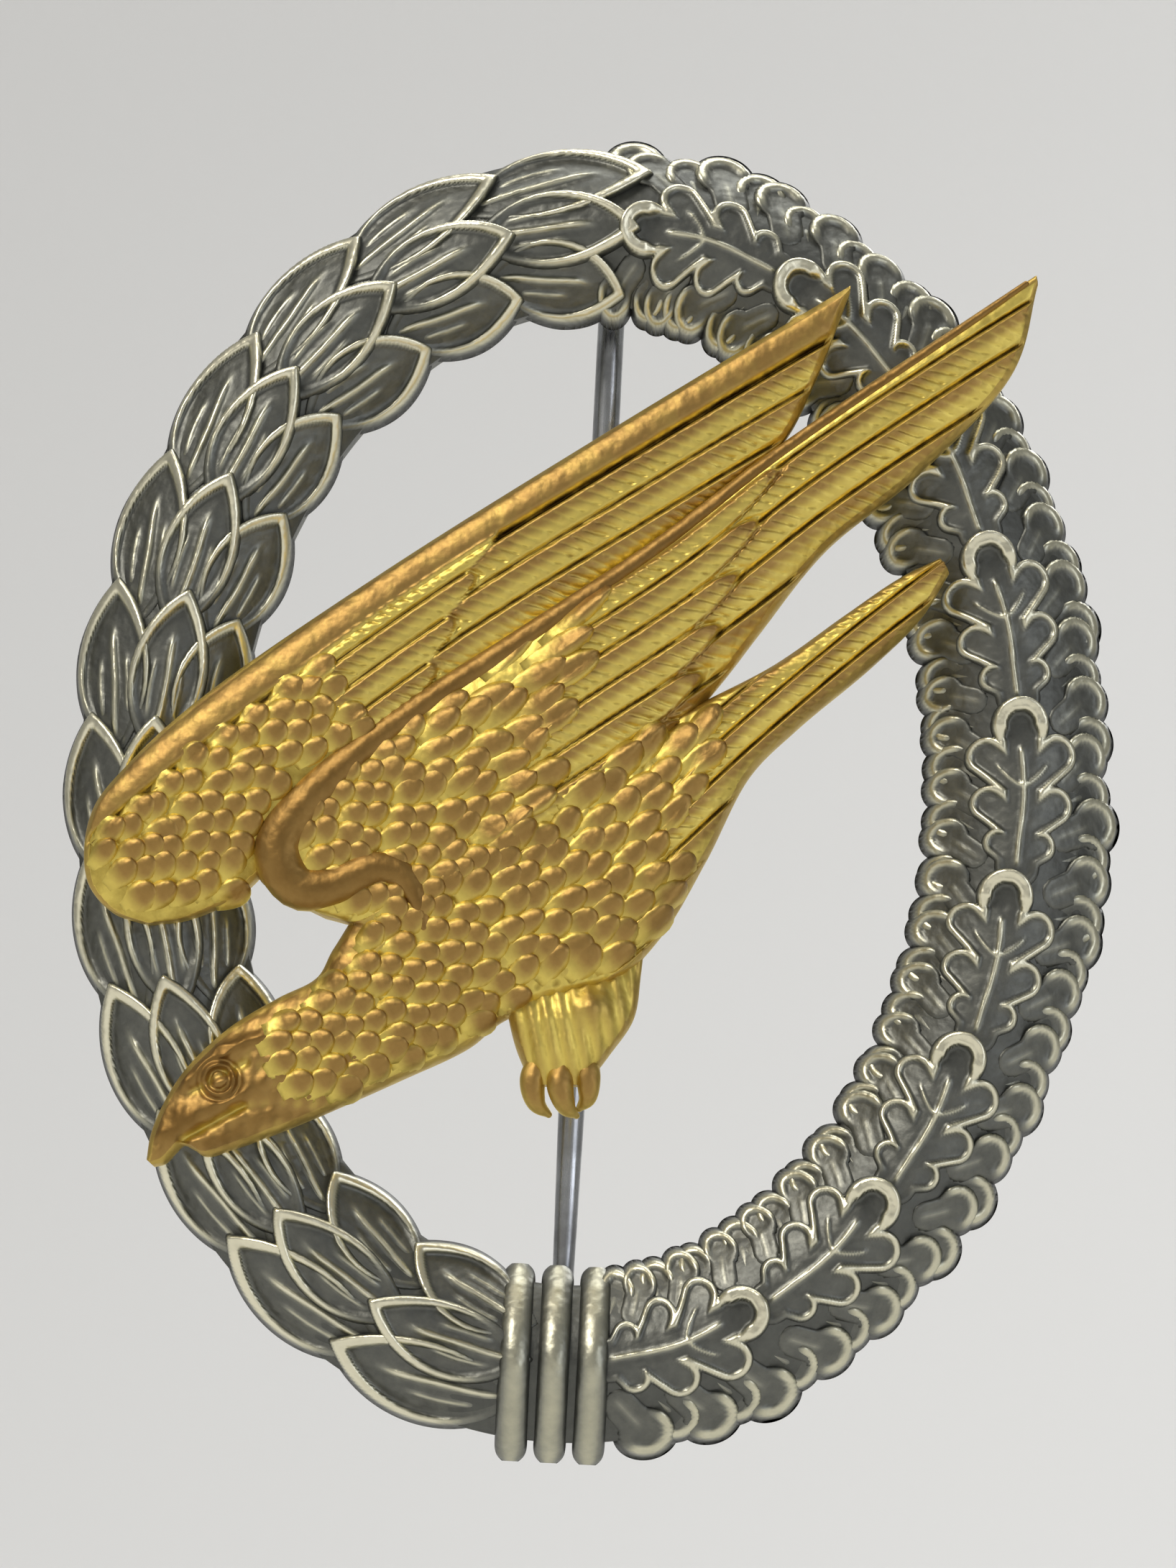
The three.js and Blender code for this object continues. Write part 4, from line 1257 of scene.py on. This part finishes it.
# %% Bracket, axle and needle
HINGE_AXIS = 2.1
EAR_RADIUS = 1.15
EAR_INNER, EAR_OUTER = 0.95, 1.75
hinge_z = middle_of("hinge_plate").z / MM
ear_outline = [(0.62, EAR_RADIUS), (0.62, -EAR_RADIUS)]
turn = np.linspace(0, np.pi, 25)
ear_outline += [(HINGE_AXIS + EAR_RADIUS * math.sin(t), -EAR_RADIUS * math.cos(t)) for t in turn]
base_outline = [(0.6, -1.5), (1.0, -1.5), (1.0, 1.5), (0.6, 1.5)]
for name, outline, start, end, bevel in (
    ("hinge_ear_left", ear_outline, -EAR_OUTER, -EAR_INNER, 0.08),
    ("hinge_ear_right", ear_outline, EAR_INNER, EAR_OUTER, 0.08),
    ("hinge_base", base_outline, -EAR_OUTER, EAR_OUTER, 0.06),
):
    piece = pressed(name, outline, start, end, bevel, (0, 0, hinge_z), tarnished_brass)
    finish_piece(piece, "badge", "fitting_brass", "hinge_bracket")

on_axis = (0, HINGE_AXIS, hinge_z)
head = [(0.0, 2.1), (0.35, 2.1), (0.62, 2.05), (0.77, 1.95), (0.8, 1.85), (0.8, 1.8), (0.45, 1.8)]
axle_profile = [(r, -h) for r, h in head] + head[::-1]
axle = turned("hinge_axle_turned", axle_profile, "x", on_axis, drawn_steel)
finish_piece(axle, "badge", "needle_steel", "hinge_axle")

lip = [(0.52, 0.74), (0.58, 0.8), (0.87, 0.8), (0.95, 0.72)]
barrel_profile = [(r, -h) for r, h in lip] + lip[::-1]
barrel = turned("needle_barrel_turned", barrel_profile, "x", on_axis, tarnished_brass)
finish_piece(barrel, "needle", "fitting_brass", "needle_barrel")

tip, top = [corner.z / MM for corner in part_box("needle_stem")]
point = [(0.0, 0.0), (0.05, 0.12), (0.16, 0.7), (0.3, 1.3), (0.38, 1.75)]  # ground, above the tip
taper = [(0.4 + 0.015 * k, 3 + k) for k in range(11)]
brazed = [(0.56, 0.8), (0.6, 0.7), (0.62, 0.5), (0.6, 0.3), (0.52, 0.0), (0.0, 0.0)]  # below the barrel
stem_profile = [(radius, tip + h) for radius, h in point + taper]
stem_profile += [(0.55, z) for z in np.linspace(tip + 16, top - 0.9, 12)]
stem_profile += [(radius, top - h) for radius, h in brazed]
stem = turned("needle_stem_ground", stem_profile, "z", (0, HINGE_AXIS, 0), drawn_steel, sides=32)
finish_piece(stem, "needle", "needle_steel", "needle_stem")

# %% The catch
BEND = 1.25
WIRE = 0.45
catch_z = middle_of("catch_plate").z / MM
route = [(BEND, 0.35, WIRE), (BEND, 1.0, WIRE), (BEND, 1.7, WIRE)]  # x, y and radius
turn = np.linspace(0.25, np.pi - 0.1, 9)
route += [(BEND * math.cos(t), HINGE_AXIS + BEND * math.sin(t), WIRE) for t in turn]
route += [(-BEND, HINGE_AXIS - 0.12, 0.44), (-BEND - 0.02, HINGE_AXIS - 0.22, 0.4)]
hook_knots = [(x, y, catch_z, radius) for x, y, radius in route]
hook = sweep("catch_hook_wire", hook_knots, tarnished_brass, wear=(0.3, 0.8), sides=20, steps=70)
finish_piece(hook, "badge", "fitting_brass", "catch_hook")
collar = [(0.62, 0.4), (0.6, 0.46), (0.52, 0.56), (0.46, 0.72), (0.3, 0.72), (0.3, 0.4)]
seat = turned("hook_solder", collar, "y", (BEND, 0.0, catch_z), soft_solder, sides=32)
finish_piece(seat, "badge", "fitting_brass")

# %% [markdown]
# ## The stage
#
# A pale floor and backdrop, soft light from the upper left, and a long lens. The backdrop stands
# well behind the badge, so that a camera can also go round it. Polished metal shows what it
# reflects, so the world is a quiet grey and the light panels make the highlights.

# %% A sheet of paper for floor and backdrop
def matt_paper(name, code):
    """Pressed paper, rough all over. Its grain is drawn as coarse as a millimetre, so that it shows."""
    material, tree, place = new_material(name)
    fibre = add(tree, "ShaderNodeTexNoise", {"Vector": place, "Scale": 900.0, "Detail": 2.0})
    bump = add(tree, "ShaderNodeBump", {"Height": fibre, "Strength": 0.05, "Distance": 0.2 * MM})
    shader = add(tree, "ShaderNodeBsdfPrincipled", {"Base Color": hex_linear(code), "Roughness": 0.9,
                                                    "Normal": bump})
    add(tree, "ShaderNodeOutputMaterial", {"Surface": shader})
    return material


def paper_sweep(floor_level=-0.06, depth=0.55, width=1.6, bend=0.25):
    """A floor under the badge that curves up into a backdrop, in metres."""
    turn = np.linspace(0, np.pi / 2, 24)
    path = [(depth - bend + bend * math.sin(t), floor_level + bend - bend * math.cos(t)) for t in turn]
    path = [(-1.0, floor_level)] + path + [(depth, 1.2)]
    vertices = [(side * width, y, z) for y, z in path for side in (-1, 1)]
    faces = [(2 * i, 2 * i + 1, 2 * i + 3, 2 * i + 2) for i in range(len(path) - 1)]
    mesh = bpy.data.meshes.new("paper_sweep")
    mesh.from_pydata(vertices, [], faces)
    mesh.materials.append(matt_paper("matt_paper", "#dcdcdb"))
    mesh.shade_smooth()
    return link("paper_sweep", mesh)


paper_sweep()

# %% Light
def panel_light(name, place, size, watts, colour="#ffffff"):
    """A soft light panel that faces the badge."""
    lamp = bpy.data.lights.new(name, "AREA")
    lamp.shape = "RECTANGLE"
    lamp.size, lamp.size_y = size
    lamp.energy = watts
    lamp.color = hex_linear(colour)[:3]
    thing = link(name, lamp)
    thing.location = place
    thing.rotation_euler = (-Vector(place)).to_track_quat("-Z", "Y").to_euler()


panel_light("key_panel", (-0.30, -0.34, 0.40), (0.22, 0.30), 2.1, "#fffaf3")
panel_light("fill_panel", (0.45, -0.40, 0.05), (0.30, 0.40), 0.7, "#eef3ff")
panel_light("top_panel", (0.05, 0.10, 0.55), (0.40, 0.20), 1.2)
panel_light("back_panel", (0.25, 0.45, 0.35), (0.25, 0.25), 1.0)

world = bpy.data.worlds.new("studio")
world.use_nodes = True
background = world.node_tree.nodes["Background"]
background.inputs["Color"].default_value = hex_linear("#b9b9b7")
background.inputs["Strength"].default_value = 0.55
bpy.context.scene.world = world
bpy.context.scene.view_settings.view_transform = "Standard"

# %% The camera
CAMERA_LENS = 130.0
CAMERA_TILT = math.radians(-7.5)  # it looks from a little below the badge's middle
CAMERA_ROLL = math.radians(2.9)
FRAME_HEIGHT = 63 * MM  # what the picture's long side spans at the badge
SENSOR = 36.0

lens_data = bpy.data.cameras.new("camera")
lens_data.lens = CAMERA_LENS
lens_data.sensor_width = SENSOR
camera = link("camera", lens_data)
distance = FRAME_HEIGHT * CAMERA_LENS / SENSOR
towards = Vector((0.0, math.cos(CAMERA_TILT), -math.sin(CAMERA_TILT)))
camera.location = Vector((0.0, -0.003, 0.0)) - towards * distance
camera.rotation_mode = "QUATERNION"
roll = Matrix.Rotation(CAMERA_ROLL, 4, "Z").to_quaternion()
camera.rotation_quaternion = towards.to_track_quat("-Z", "Y") @ roll
bpy.context.scene.camera = camera
print("camera distance in mm:", round(distance / MM))

# %% Remove the templates
for template in (laurel_leaf, oak_leaf, edge_lobe, left_oval, right_oval, strap, scale, far_sites,
                 near_sites, body_sites):
    bpy.data.objects.remove(template)
